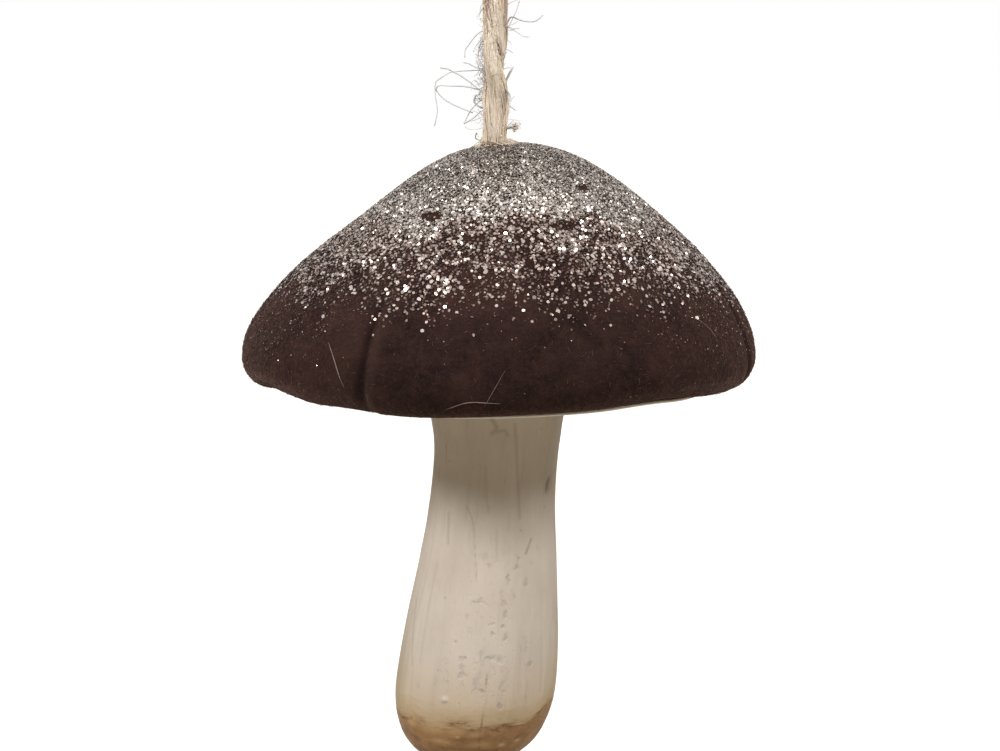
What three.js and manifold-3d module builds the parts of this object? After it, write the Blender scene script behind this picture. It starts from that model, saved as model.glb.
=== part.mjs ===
// Hanging mushroom ornament: a velvet cap on a foam dome, a leaning painted stem and a loop of doubled twine.
// Millimetres, Z up, seen from -Y. The origin is where a hook bears on the inside of the loop's top.
import * as THREE from "three";
import { mergeVertices } from "three/addons/utils/BufferGeometryUtils.js";
import Module from "manifold-3d";

const wasm = await Module();
wasm.setup();

// Cap
const CAP_DIAMETER = 81;
const CAP_HEIGHT = 38.1; // from the foot of the rim to the crown, over the velvet
const RIM_RADIUS = 4.4; // of the roll round the edge
const CROWN_SHIFT = 2.05; // the hand-formed crown leans this far to +X
const CROWN_FROM = 0.2; // share of the cap's height where that lean starts
const CROWN_OVER = 0.62; // share of the height over which it grows
const VELVET = 1.2; // fabric and pile
const HEM_WIDTH = 5; // fabric turned in under the dome, past the foot of the rim
const GLITTER = 0.3;
const GLITTER_EDGE = 14; // the glitter ends at this height above the foot of the rim
const LINING = 0.4;
const LINING_LAP = 2.4; // the lining covers this much of the hem

// Stem
const STEM_LENGTH = 61.4;
const STEM_TOP = 23; // diameters
const STEM_NECK = 19.7;
const STEM_BULB = 25.4;
const NECK_DEPTH = 14; // below the foot of the rim
const FOOT_HEIGHT = 13; // of the rounded end below the widest part of the bulb
const FOOT_FULLNESS = 0.635; // of its curve, where 0.552 is an ellipse
const STEM_OFFSET = -0.25; // of the stem's top from the cap's centre
const STEM_LEAN = 4.36; // of the bulb to -X
const LEAN_FROM = 0.13; // share of the stem's length where that lean starts
const LEAN_OVER = 0.81; // share of the length over which it grows
const LEAN_CURVE = 1.15; // 1 is a straight lean
const TOP_FLARE = 0.8; // how far the flared top draws in at once
const FLARE_NEAR = 0.35; // ease of the side from the flare into the neck, as shares of the way down
const FLARE_FAR = 0.5;
const BULB_NEAR = 0.35; // ease of the side out of the neck and into the bulb, as shares of the way down
const BULB_FAR = 0.68;

// Twine and what holds it
const TWINE = 1.6; // diameter
const LEG_PITCH = 1.95; // between the two legs where they leave the cap
const TWINE_X = -0.63; // from the cap's centre, so that the ornament hangs as it does
const HANG = 46; // from the inside of the loop's top to the crown
const KNOT = 2.6; // radius of the overhand knot's centreline
const DOWEL = 4;
const DOWEL_IN_STEM = 38;
const DOWEL_IN_CAP = 8;
const PLUG_LENGTH = 10;
const CHAMFER = 0.5;

// Clearances
const GLUE_GAP = 0.3; // glue line between pieces
const COAT_GAP = 0.15; // between coats on the same form
const END_GAP = 0.4; // between the loop's ends and the twine's tails

const CAP_SIDES = 40;
const STEM_SIDES = 32;
const SMALL_SIDES = 16;
const TWINE_SIDES = 8;
const KNOT_STEPS = 48;
const KNOT_SIDES = 6;
const END_RINGS = 6;
const LOOP_STEPS = 64;

const capRadius = CAP_DIAMETER / 2;
const rise = CAP_HEIGHT - RIM_RADIUS;
const footRadius = capRadius - RIM_RADIUS; // where the rim stands lowest
const hemRadius = footRadius - HEM_WIDTH;
const coreFoot = COAT_GAP;
const liningTop = coreFoot - GLUE_GAP;
const stemTopZ = liningTop;
const twineRadius = TWINE / 2;
const legX = LEG_PITCH / 2;
const boreRadius = legX + twineRadius + END_GAP;
const knotReach = 1.5 * KNOT + twineRadius;
const knotHalf = 0.5 * KNOT + twineRadius;
const pocketRadius = knotReach + GLUE_GAP;
const plugTop = coreFoot + PLUG_LENGTH;
const knotZ = plugTop + GLUE_GAP + knotHalf;
const pocketTop = knotZ + knotHalf + GLUE_GAP;
const dowelTop = coreFoot + DOWEL_IN_CAP;
const dowelFoot = stemTopZ - DOWEL_IN_STEM;
const socketRadius = DOWEL / 2 + GLUE_GAP;
const coatTop = CAP_HEIGHT + COAT_GAP + GLITTER;
const loopFoot = coatTop + END_GAP + twineRadius; // centre of the loop's rounded ends

const vec = (x, y) => new THREE.Vector2(x, y);
const smooth = (t) => THREE.MathUtils.smoothstep(t, 0, 1);

// The cap's outline from the crown to the foot of the rim: crown, straight slope, shoulder and rim roll.
const outline = new THREE.Path();
const at = (r, z) => [r * capRadius, RIM_RADIUS + z * rise];
outline.moveTo(...at(0, 1));
outline.bezierCurveTo(...at(0.262, 1), ...at(0.413, 0.828), ...at(0.513, 0.7305));
outline.lineTo(...at(0.678, 0.568));
outline.bezierCurveTo(...at(0.725, 0.522), ...at(1, 0.267), ...at(1, 0));
outline.absarc(footRadius, RIM_RADIUS, RIM_RADIUS, 0, -Math.PI / 2, true);
const edge = outline.getPoints(5);

// The outline moved in by depth, square to itself.
function skin(depth) {
  return edge.map((p, i) => {
    const before = edge[i - 1] ?? vec(-edge[1].x, edge[1].y);
    const after = edge[i + 1] ?? vec(p.x - 1, p.y);
    const along = i === edge.length - 1 ? vec(-1, 0) : after.clone().sub(before).normalize();
    return vec(Math.max(0, p.x - depth * -along.y), p.y - depth * along.x);
  });
}

// The part of an outline above a height.
function above(points, z) {
  const n = points.findIndex((p) => p.y < z);
  const [a, b] = [points[n - 1], points[n]];
  return [...points.slice(0, n), a.clone().lerp(b, (a.y - z) / (a.y - b.y))];
}

function revolve(points, sides) {
  return new THREE.LatheGeometry([...points].reverse(), sides).rotateX(Math.PI / 2);
}

// Moves each vertex along X by a distance that depends on its height.
function lean(geometry, shift) {
  const p = geometry.attributes.position;
  for (let i = 0; i < p.count; i++) p.setX(i, p.getX(i) + shift(p.getZ(i)));
  return geometry;
}

const crownShift = (z) => CROWN_SHIFT * smooth((z / CAP_HEIGHT - CROWN_FROM) / CROWN_OVER);
const leanShare = (z) => Math.max(0, (-z / STEM_LENGTH - LEAN_FROM) / LEAN_OVER) ** LEAN_CURVE;
const stemShift = (z) => STEM_OFFSET - STEM_LEAN * leanShare(z);

function solidOf(geometry) {
  const bare = geometry.clone();
  bare.deleteAttribute("normal");
  bare.deleteAttribute("uv");
  const g = mergeVertices(bare, 1e-4);
  const faces = [];
  const index = g.index.array;
  for (let i = 0; i < index.length; i += 3) {
    const [a, b, c] = index.slice(i, i + 3);
    if (a !== b && b !== c && c !== a) faces.push(a, b, c);
  }
  return new wasm.Manifold(
    new wasm.Mesh({
      numProp: 3,
      vertProperties: new Float32Array(g.attributes.position.array),
      triVerts: new Uint32Array(faces),
    }),
  );
}

function geometryOf(solid) {
  const mesh = solid.getMesh();
  const g = new THREE.BufferGeometry();
  g.setAttribute("position", new THREE.BufferAttribute(mesh.vertProperties, 3));
  g.setIndex(new THREE.BufferAttribute(mesh.triVerts, 1));
  g.computeVertexNormals();
  return g;
}

// An upright cylinder on the twine's axis.
function pillar(radius, from, to) {
  return new THREE.CylinderGeometry(radius, radius, to - from, SMALL_SIDES)
    .rotateX(Math.PI / 2)
    .translate(TWINE_X, 0, (from + to) / 2);
}

function cut(geometry, ...tools) {
  return geometryOf(tools.reduce((rest, tool) => rest.subtract(solidOf(tool)), solidOf(geometry)));
}

const group = new THREE.Group();
group.name = "velvet_mushroom_ornament";
// Everything is drawn from the foot of the rim at the cap's centre, then moved to hang from the origin.
const hang = new THREE.Vector3(-TWINE_X, 0, -coatTop - HANG);

function add(name, geometry, color, roughness, metalness = 0) {
  const material = new THREE.MeshStandardMaterial({ color, roughness, metalness });
  const mesh = new THREE.Mesh(geometry.translate(hang.x, hang.y, hang.z), material);
  mesh.name = name;
  group.add(mesh);
}

// Cap: foam dome, velvet cover, glitter and lining.
const bore = pillar(boreRadius, pocketTop - 1, coatTop + 1);
const corePoints = [
  ...skin(VELVET + GLUE_GAP),
  vec(hemRadius - GLUE_GAP, VELVET + GLUE_GAP),
  vec(hemRadius - GLUE_GAP, coreFoot),
  vec(0, coreFoot),
];
const pocket = pillar(pocketRadius, coreFoot - 1, pocketTop);
const dome = lean(revolve(corePoints, CAP_SIDES), crownShift);
add("cap_core", cut(dome, bore, pocket), 0xf1efe8, 0.9);

const velvetPoints = [...skin(0), vec(hemRadius, 0), vec(hemRadius, VELVET), ...skin(VELVET).reverse()];
const cover = lean(revolve(velvetPoints, CAP_SIDES), crownShift);
add("cap_velvet", cut(cover, bore), 0x3a2925, 0.95);

const coatPoints = [
  ...above(skin(-COAT_GAP - GLITTER), GLITTER_EDGE),
  ...above(skin(-COAT_GAP), GLITTER_EDGE).reverse(),
];
const coat = lean(revolve(coatPoints, CAP_SIDES), crownShift);
add("glitter_coat", cut(coat, bore), 0xb9aca2, 0.35, 0.8);

const liningHole = STEM_TOP / 2 + GLUE_GAP;
const liningRadius = hemRadius + LINING_LAP;
const liningPoints = [
  vec(liningHole, liningTop),
  vec(liningRadius, liningTop),
  vec(liningRadius, liningTop - LINING),
  vec(liningHole, liningTop - LINING),
  vec(liningHole, liningTop),
];
add("cap_lining", revolve(liningPoints, CAP_SIDES).translate(STEM_OFFSET, 0, 0), 0xc9bba4, 0.8);

// Stem: flared top, neck, bulb and rounded foot, leaning to one side.
const bulbZ = FOOT_HEIGHT - STEM_LENGTH;
const neckZ = -NECK_DEPTH;
const stemSide = new THREE.Path();
stemSide.moveTo(0, stemTopZ);
stemSide.lineTo(STEM_TOP / 2, stemTopZ);
stemSide.bezierCurveTo(
  STEM_TOP / 2 - TOP_FLARE,
  neckZ * FLARE_NEAR,
  STEM_NECK / 2,
  neckZ * FLARE_FAR,
  STEM_NECK / 2,
  neckZ,
);
stemSide.bezierCurveTo(
  STEM_NECK / 2,
  THREE.MathUtils.lerp(neckZ, bulbZ, BULB_NEAR),
  STEM_BULB / 2,
  THREE.MathUtils.lerp(neckZ, bulbZ, BULB_FAR),
  STEM_BULB / 2,
  bulbZ,
);
stemSide.bezierCurveTo(
  STEM_BULB / 2,
  bulbZ - FOOT_FULLNESS * FOOT_HEIGHT,
  (FOOT_FULLNESS * STEM_BULB) / 2,
  -STEM_LENGTH,
  0,
  -STEM_LENGTH,
);
const stem = lean(revolve(stemSide.getPoints(5), STEM_SIDES), stemShift);
const socket = pillar(socketRadius, dowelFoot - GLUE_GAP, stemTopZ + 1);
add("stem", cut(stem, socket), 0xc6b8a6, 0.5);

// Pin and glue between stem and cap.
const onAxis = (points) => revolve(points, SMALL_SIDES).translate(TWINE_X, 0, 0);
const dowelPoints = [
  vec(0, dowelTop),
  vec(DOWEL / 2 - CHAMFER, dowelTop),
  vec(DOWEL / 2, dowelTop - CHAMFER),
  vec(DOWEL / 2, dowelFoot + CHAMFER),
  vec(DOWEL / 2 - CHAMFER, dowelFoot),
  vec(0, dowelFoot),
];
add("stem_dowel", onAxis(dowelPoints), 0xcfae7a, 0.7);

const plugRadius = pocketRadius - GLUE_GAP;
const plugPoints = [
  vec(0, plugTop),
  vec(plugRadius, plugTop),
  vec(plugRadius, coreFoot),
  vec(socketRadius, coreFoot),
  vec(socketRadius, dowelTop + GLUE_GAP),
  vec(0, dowelTop + GLUE_GAP),
];
add("glue_plug", onAxis(plugPoints), 0xe9e2cf, 0.4);

// Twine: an overhand knot under the bore, two tails in it and the free loop above the cap.
const twineColour = 0xc4b29b;
const knot = new THREE.TorusKnotGeometry(KNOT, twineRadius, KNOT_STEPS, KNOT_SIDES);
add("twine_knot", knot.translate(TWINE_X, 0, knotZ), twineColour, 0.95);

const tailFoot = knotZ + knotHalf + GLUE_GAP;
for (const [name, side] of [["twine_tail_left", -1], ["twine_tail_right", 1]]) {
  const tail = new THREE.CylinderGeometry(twineRadius, twineRadius, coatTop - tailFoot, TWINE_SIDES)
    .rotateX(Math.PI / 2)
    .translate(TWINE_X + side * legX, 0, (coatTop + tailFoot) / 2);
  add(name, tail, twineColour, 0.95);
}

// The loop's route above its rounded ends: x and y in leg spacings, z as a share of the hang.
// The legs cross once below the eye, and the one in front runs down to the right.
const route = [
  [-1, 0, 0],
  [-1, 0, 0.085],
  [-0.76, 0.65, 0.155],
  [0, 1, 0.21],
  [0.64, 0.77, 0.275],
  [0.97, 0.26, 0.345],
  [1, 0, 0.42],
  [1.3, 0, 0.5],
  [3.2, 0, 0.6],
  [5.6, 0, 0.715],
  [6.4, 0, 0.82],
  [5.3, 0, 0.925],
  [2.95, 0, 0.985],
];
const top = coatTop + HANG + twineRadius; // centreline of the loop's crown
const rightLeg = route.map(([x, y, z]) =>
  new THREE.Vector3(TWINE_X + x * legX, y * legX, THREE.MathUtils.lerp(loopFoot, top, z)),
);
const leftLeg = route.map(([x, y, z]) =>
  new THREE.Vector3(TWINE_X - x * legX, -y * legX, THREE.MathUtils.lerp(loopFoot, top, z)),
);
const loopPath = new THREE.CatmullRomCurve3(
  [...rightLeg, new THREE.Vector3(TWINE_X, 0, top), ...leftLeg.reverse()],
  false,
  "centripetal",
);
const section = new THREE.Shape(
  Array.from({ length: TWINE_SIDES }, (_, i) => {
    const turn = (2 * Math.PI * i) / TWINE_SIDES;
    return vec(twineRadius * Math.cos(turn), twineRadius * Math.sin(turn));
  }),
);
const free = new THREE.ExtrudeGeometry(section, { steps: LOOP_STEPS, extrudePath: loopPath });
const ends = [loopPath.getPoint(0), loopPath.getPoint(1)].map((p) =>
  new THREE.SphereGeometry(twineRadius, TWINE_SIDES, END_RINGS).rotateX(Math.PI / 2).translate(p.x, p.y, p.z),
);
const loop = ends.reduce((whole, ball) => whole.add(solidOf(ball)), solidOf(free));
add("twine_loop", geometryOf(loop), twineColour, 0.95);

export default group;
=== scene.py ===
"""Looks of the velvet mushroom ornament: velvet cap, glitter, painted stem and jute twine.

Lengths are drawn in millimetres in the row frame and made into metres when a mesh is made.
Angles round the cap and the stem are in degrees from the front (-Y), growing towards +X.
"""
import math

import bpy
import numpy as np
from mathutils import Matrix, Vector
from mathutils import noise as blender_noise
from mathutils.bvhtree import BVHTree


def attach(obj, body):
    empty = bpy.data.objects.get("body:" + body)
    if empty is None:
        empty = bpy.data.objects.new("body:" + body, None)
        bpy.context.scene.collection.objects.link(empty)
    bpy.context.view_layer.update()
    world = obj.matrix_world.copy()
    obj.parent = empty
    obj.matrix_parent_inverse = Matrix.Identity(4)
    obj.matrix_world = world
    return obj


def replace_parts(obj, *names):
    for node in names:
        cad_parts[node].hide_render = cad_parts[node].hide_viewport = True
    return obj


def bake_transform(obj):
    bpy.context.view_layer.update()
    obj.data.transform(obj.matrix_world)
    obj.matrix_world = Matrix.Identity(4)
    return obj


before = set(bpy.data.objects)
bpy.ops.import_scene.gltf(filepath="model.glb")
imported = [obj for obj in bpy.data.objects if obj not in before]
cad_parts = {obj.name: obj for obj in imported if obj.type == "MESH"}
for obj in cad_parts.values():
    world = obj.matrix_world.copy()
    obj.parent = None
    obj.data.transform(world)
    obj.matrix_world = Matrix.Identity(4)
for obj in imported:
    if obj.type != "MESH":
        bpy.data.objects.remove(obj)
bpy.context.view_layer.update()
scene = bpy.context.scene

MM = 0.001

# Camera and photograph
IMAGE_WIDTH = 1000
IMAGE_HEIGHT = 751
PIXEL = 0.158  # millimetres of the object to a pixel
CAMERA_DISTANCE = 750
CAMERA_ELEVATION = 8
CAMERA_AIM = (0.79, 0, -83.4)
SENSOR = 36

# Cap, as in the part's source
CAP_RADIUS = 40.5
CAP_HEIGHT = 38.1
RIM_RADIUS = 4.4
CAP_X = 0.63
CROWN_SHIFT = 2.05
RIM_FOOT_Z = -84.55
VELVET = 1.2
HEM_WIDTH = 5
HOLE_X = 2.1
HOLE_Y = 1.2
CROWN_ZONE = 16

# Stem, as in the part's source
STEM_LENGTH = 61.4
STEM_TOP = 23
STEM_NECK = 19.7
STEM_BULB = 25.4
NECK_DEPTH = 14
FOOT_HEIGHT = 13
FOOT_FULLNESS = 0.635
STEM_OFFSET = -0.25
STEM_LEAN = 4.36
STEM_TOP_Z = -0.15
SOCKET_RADIUS = 2.3
SOCKET_DEPTH = 38.5

# Lining
LINING_HOLE = 11.8
LINING_RADIUS = 33.5
LINING_TOP = -0.15
LINING = 0.4
LINING_DROOP = 0.2  # at its edge, where the photograph shows it under the rim

# Twine, as in the part's source
LEG_X = 0.975
LOOP_FOOT = -44.8
LOOP_CROWN = 0.8
TAIL_FOOT = -69.6
# Half of the loop: x and y in offsets of a leg, height as a share of the loop's
TWINE_ROUTE = [
    (-1, 0, 0), (-1, 0, 0.085), (-0.76, 0.65, 0.155), (0, 1, 0.21), (0.64, 0.77, 0.275), (0.97, 0.26, 0.345),
    (1, 0, 0.42), (1.3, 0, 0.5), (3.2, 0, 0.6), (5.6, 0, 0.715), (6.4, 0, 0.82), (5.3, 0, 0.925),
    (2.95, 0, 0.985),
]


# Small helpers

def smooth(t):
    t = np.clip(t, 0, 1)
    return t * t * (3 - 2 * t)


def unit(v):
    return v / np.maximum(np.linalg.norm(v, axis=-1, keepdims=True), 1e-12)


def bezier(a, b, c, d, steps):
    t = np.linspace(0, 1, steps)[:, None]
    a, b, c, d = (np.array(p, float) for p in (a, b, c, d))
    return a * (1 - t) ** 3 + 3 * b * t * (1 - t) ** 2 + 3 * c * t * t * (1 - t) + d * t ** 3


def run_along(points):
    """How far along a polyline each of its points lies."""
    return np.concatenate([[0], np.cumsum(np.linalg.norm(np.diff(points, axis=0), axis=1))])


def spaced(points, count):
    """The polyline's points again, count of them at even distances."""
    points = np.asarray(points, float)
    run = run_along(points)
    at = np.linspace(0, run[-1], count)
    return np.stack([np.interp(at, run, values) for values in points.T], 1)


def from_table(places, table):
    """Values at places along a table of (place, value), straight between its rows."""
    return np.interp(places, *np.array(table).T)


def noise_at(points, size, seed):
    """Soft noise from -1 to 1 with features of about size millimetres."""
    shift = Vector((17.3 * seed, -9.1 * seed, 5.7 * seed))
    values = [blender_noise.noise(Vector(p) / size + shift) for p in points.reshape(-1, 3)]
    return np.array(values).reshape(points.shape[:-1])


def curve_through(points, per_span=12):
    """A centripetal Catmull-Rom curve through the points."""
    points = np.asarray(points, float)
    ends = [2 * points[0] - points[1], *points, 2 * points[-1] - points[-2]]
    made = []
    for i in range(len(points) - 1):
        p = ends[i:i + 4]
        knots = [0.0]
        for a, b in zip(p, p[1:]):
            knots.append(knots[-1] + max(np.linalg.norm(b - a), 1e-6) ** 0.5)
        t = np.linspace(knots[1], knots[2], per_span, endpoint=False)[:, None]
        for spans in (((0, 1), (1, 2), (2, 3)), ((0, 2), (1, 3)), ((1, 2),)):
            between = [(knots[low], knots[high]) for low, high in spans]
            p = [(v - t) / (v - u) * a + (t - u) / (v - u) * b for (u, v), a, b in zip(between, p, p[1:])]
        made.append(p[0])
    made.append(points[-1:])
    return np.concatenate(made)


def enclosed(points, mesh):
    """The volume inside a closed mesh, below zero where its faces point inwards."""
    mesh.calc_loop_triangles()
    corners = np.zeros(len(mesh.loop_triangles) * 3, np.int32)
    mesh.loop_triangles.foreach_get("vertices", corners)
    a, b, c = (points[corners[k::3]] for k in range(3))
    return float((a * np.cross(b, c)).sum())


def new_object(name, points, faces, look, shade_smooth=True):
    """A mesh of points in millimetres, with its faces turned outwards."""
    points = np.asarray(points, float) * MM
    mesh = bpy.data.meshes.new(name)
    mesh.from_pydata(points.tolist(), [], faces if isinstance(faces, list) else faces.tolist())
    mesh.polygons.foreach_set("use_smooth", np.full(len(mesh.polygons), shade_smooth))
    mesh.materials.append(look.made)
    mesh.update()
    if enclosed(points, mesh) < 0:
        mesh.flip_normals()
    made = bpy.data.objects.new(name, mesh)
    scene.collection.objects.link(made)
    return made


def point_values(obj, **values):
    """Values for each point of a mesh by name, one number or three to a point."""
    for name, value in values.items():
        value = np.asarray(value, np.float32)
        kind, field = ("FLOAT", "value") if value.ndim == 1 else ("FLOAT_VECTOR", "vector")
        attribute = obj.data.attributes.new(name, kind, "POINT")
        attribute.data.foreach_set(field, value.ravel())


def grid_faces(rows, columns, wrap_rows=False):
    """Quads of a grid that is closed along its columns, and along its rows where asked."""
    i = np.arange(rows if wrap_rows else rows - 1)[:, None]
    j = np.arange(columns)[None, :]
    below = (i + 1) % rows
    beside = (j + 1) % columns
    quads = [i * columns + j, i * columns + beside, below * columns + beside, below * columns + j]
    return np.stack(quads, -1).reshape(-1, 4)


def ring_angles(count):
    return np.linspace(-np.pi, np.pi, count, endpoint=False)


def around(angle, r, z, x=0):
    """Points at angles from the front round an upright axis at x."""
    return np.stack(np.broadcast_arrays(x + r * np.sin(angle), -r * np.cos(angle), z), -1)


def grid_normals(points, outward):
    """Normals of a grid that is closed along its columns. Outward is the way out at its first column."""
    down = np.gradient(points, axis=0)
    wrapped = np.concatenate([points[:, -1:], points, points[:, :1]], 1)
    normals = unit(np.cross(down, np.gradient(wrapped, axis=1)[:, 1:-1]))
    return -normals if normals[len(points) // 2, 0] @ outward < 0 else normals


def turned_to(a, b, turn):
    """The directions that lie turn radians from a towards b."""
    turn = np.asarray(turn)[..., None]
    return a * np.cos(turn) + b * np.sin(turn)


def frames(lines, side):
    """Directions along lines, an array of lines by steps by 3, and two across them that twist least."""
    along = unit(np.gradient(lines, axis=1))
    normals = np.zeros_like(lines)
    for k in range(lines.shape[1]):
        side = unit(side - along[:, k] * (side * along[:, k]).sum(1, keepdims=True))
        normals[:, k] = side
    return along, normals, np.cross(along, normals)


def tubes(lines, radii, sides):
    """Closed tubes round lines, an array of lines by steps by 3. Radii is lines by steps."""
    count, steps, _ = lines.shape
    _, normals, across = frames(lines, np.cross(lines[:, 1] - lines[:, 0], (0.31, 0.83, 0.47)))
    turn = np.linspace(0, 2 * np.pi, sides, endpoint=False)
    ring = turned_to(normals[:, :, None], across[:, :, None], turn)
    points = lines[:, :, None] + ring * radii[:, :, None, None]
    start = (np.arange(count) * steps * sides)[:, None, None]
    quads = (grid_faces(steps, sides)[None] + start).reshape(-1, 4)
    first = np.arange(sides)[::-1]
    last = np.arange(sides) + (steps - 1) * sides
    caps = (np.stack([first, last])[None] + start).reshape(-1, sides)
    return points.reshape(-1, 3), quads.tolist() + caps.tolist()


def ray_tree(points, faces):
    return BVHTree.FromPolygons([Vector(p) for p in points], faces)


# Camera

camera_data = bpy.data.cameras.new("camera")
camera_data.sensor_width = SENSOR
camera_data.lens = SENSOR * CAMERA_DISTANCE / (IMAGE_WIDTH * PIXEL)
camera = bpy.data.objects.new("camera", camera_data)
scene.collection.objects.link(camera)
scene.camera = camera
camera_tilt = math.radians(CAMERA_ELEVATION)
to_camera = Vector((0, -math.cos(camera_tilt), math.sin(camera_tilt)))
camera_up = Vector((0, math.sin(camera_tilt), math.cos(camera_tilt)))
camera_spot = Vector(CAMERA_AIM) + to_camera * CAMERA_DISTANCE
camera.location = camera_spot * MM
camera.rotation_euler = to_camera.to_track_quat("Z", "Y").to_euler()


def pixel_ray(x, y):
    """The direction in which the photograph's pixel is seen from the camera."""
    right = (x - IMAGE_WIDTH / 2) * PIXEL
    up = (IMAGE_HEIGHT / 2 - y) * PIXEL
    return (Vector((right, 0, 0)) + camera_up * up - to_camera * CAMERA_DISTANCE).normalized()


def pixel_at_depth(x, y, depth):
    """The point seen at a pixel that lies depth millimetres behind the twine's axis."""
    ray = pixel_ray(x, y)
    return camera_spot + ray * ((depth - camera_spot.y) / ray.y)


def seen_on(surface, x, y):
    """The point of a surface that is seen at a pixel, or None."""
    return surface.ray_cast(camera_spot, pixel_ray(x, y))[0]


def to_pixel(points):
    """Where points of the row frame are seen in the photograph."""
    away = points - np.array(camera_spot)
    scale = CAMERA_DISTANCE / PIXEL / -(away @ np.array(to_camera))
    return IMAGE_WIDTH / 2 + away[:, 0] * scale, IMAGE_HEIGHT / 2 - away @ np.array(camera_up) * scale


# Materials

class Look:
    """A material or the world, with its shader and the nodes that feed it."""

    def __init__(self, name, kind=bpy.data.materials, shader="Principled BSDF"):
        self.made = kind.new(name)
        self.made.use_nodes = True
        self.tree = self.made.node_tree
        self.shader = self.tree.nodes[shader]

    def put(self, socket, value):
        """Links a socket to a node's output, or sets it to a number, a vector or a colour."""
        if isinstance(value, bpy.types.NodeSocket):
            self.tree.links.new(value, socket)
        else:
            socket.default_value = (*value, 1) if socket.type == "RGBA" else value

    def set(self, **inputs):
        """Sets or links inputs of the shader, by name."""
        for name, value in inputs.items():
            self.put(self.shader.inputs[name.replace("_", " ")], value)

    def node(self, kind, output, **inputs):
        """An output of a new node with some of its inputs set or linked, by name."""
        node = self.tree.nodes.new(kind)
        for name, value in inputs.items():
            self.put(node.inputs[name.replace("_", " ")], value)
        return node.outputs[output]

    def place(self):
        return self.node("ShaderNodeTexCoord", "Object")

    def facing(self):
        return self.node("ShaderNodeLayerWeight", "Facing", Blend=0.5)

    def value(self, name, output="Fac"):
        node = self.tree.nodes.new("ShaderNodeAttribute")
        node.attribute_name = name
        return node.outputs[output]

    def stretched(self, vector, scale):
        return self.node("ShaderNodeMapping", "Vector", Vector=vector, Scale=scale)

    def noise(self, vector, scale, detail, rough):
        kind = {"Scale": scale, "Detail": detail, "Roughness": rough}
        return self.node("ShaderNodeTexNoise", "Fac", Vector=vector, **kind)

    def level(self, value, low, high, to_low=0, to_high=1):
        """Goes from to_low to to_high as a value goes from low to high."""
        ends = {"From_Min": low, "From_Max": high, "To_Min": to_low, "To_Max": to_high}
        return self.node("ShaderNodeMapRange", "Result", Value=value, **ends)

    def maths(self, operation, a, b=0):
        node = self.tree.nodes.new("ShaderNodeMath")
        node.operation = operation
        self.put(node.inputs[0], a)
        self.put(node.inputs[1], b)
        return node.outputs[0]

    def plus(self, a, b):
        return self.maths("ADD", a, b)

    def times(self, a, b):
        return self.maths("MULTIPLY", a, b)

    def mix(self, share, a, b, blend="MIX"):
        node = self.tree.nodes.new("ShaderNodeMix")
        node.data_type = "RGBA"
        node.blend_type = blend
        for index, value in ((0, share), (6, a), (7, b)):
            self.put(node.inputs[index], value)
        return node.outputs[2]

    def coats(self, colour, *coats):
        """A colour with coats over it. Each is a share and its colour, or a value, the low and high ends
        between which the coat grows, its largest share and its colour."""
        for *share, over in coats:
            if len(share) > 1:
                value, low, high, most = share
                share = [self.level(value, low, high, 0, most)]
            colour = self.mix(share[0], colour, over)
        return colour

    def ramp(self, value, *stops):
        """Colours at places along a value, as (place, colour)."""
        node = self.tree.nodes.new("ShaderNodeValToRGB")
        self.put(node.inputs["Fac"], value)
        points = node.color_ramp.elements
        while len(points) < len(stops):
            points.new(1.0)
        for point, (place, colour) in zip(points, stops):
            point.position = place
            point.color = (*colour, 1)
        return node.outputs["Color"]

    def bump(self, height, distance, strength):
        relief = {"Height": height, "Distance": distance, "Strength": strength}
        self.set(Normal=self.node("ShaderNodeBump", "Normal", **relief))

    def seen(self):
        """1 where the camera, a reflection or a clear surface looks, 0 for the light that falls on things."""
        path = self.tree.nodes.new("ShaderNodeLightPath").outputs
        direct = self.maths("MAXIMUM", path["Is Camera Ray"], path["Is Glossy Ray"])
        return self.maths("MAXIMUM", direct, path["Is Transmission Ray"])


def two_tone(name, noise, ends, low, high, relief=0, stretch=(1, 1, 1), **settings):
    """A look of two colours in noise, which is a scale, detail and roughness, with the ends between them."""
    look = Look(name)
    mottle = look.noise(look.stretched(look.place(), stretch), *noise)
    look.set(Base_Color=look.coats(low, (mottle, *ends, 1, high)), **settings)
    if relief:
        look.bump(mottle, relief, 0.5)
    return look


def fibre_look(name, stops, scale, fleck, **settings):
    """A look for fibres with a tone each, and a coat of flecks of some scale."""
    look = Look(name)
    tones = look.ramp(look.value("tone"), *stops)
    flecks = look.noise(look.place(), scale, 2, 0.6)
    look.set(Base_Color=look.coats(tones, (flecks, *fleck)), **settings)
    return look


# Cap: one outline from the twine's hole over the crown, the slope, the shoulder and the rim to the hem

rise = CAP_HEIGHT - RIM_RADIUS
foot_radius = CAP_RADIUS - RIM_RADIUS
hem_radius = foot_radius - HEM_WIDTH


def on_cap(r, z):
    return (r * CAP_RADIUS, RIM_RADIUS + z * rise)


FINE = 160
crown_line = bezier(on_cap(0, 1), on_cap(0.262, 1), on_cap(0.413, 0.828), on_cap(0.513, 0.7305), FINE)
shoulder_line = bezier(on_cap(0.678, 0.568), on_cap(0.725, 0.522), on_cap(1, 0.267), on_cap(1, 0), FINE)
rim_turn = np.linspace(0, -np.pi / 2, FINE)
rim_line = np.stack(
    [foot_radius + RIM_RADIUS * np.cos(rim_turn), RIM_RADIUS + RIM_RADIUS * np.sin(rim_turn)], 1
)
cap_line = np.concatenate([crown_line, shoulder_line, rim_line[1:], [(hem_radius, 0)]])


def crown_shift(z):
    return CROWN_SHIFT * smooth((z / CAP_HEIGHT - 0.2) / 0.62)


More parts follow.
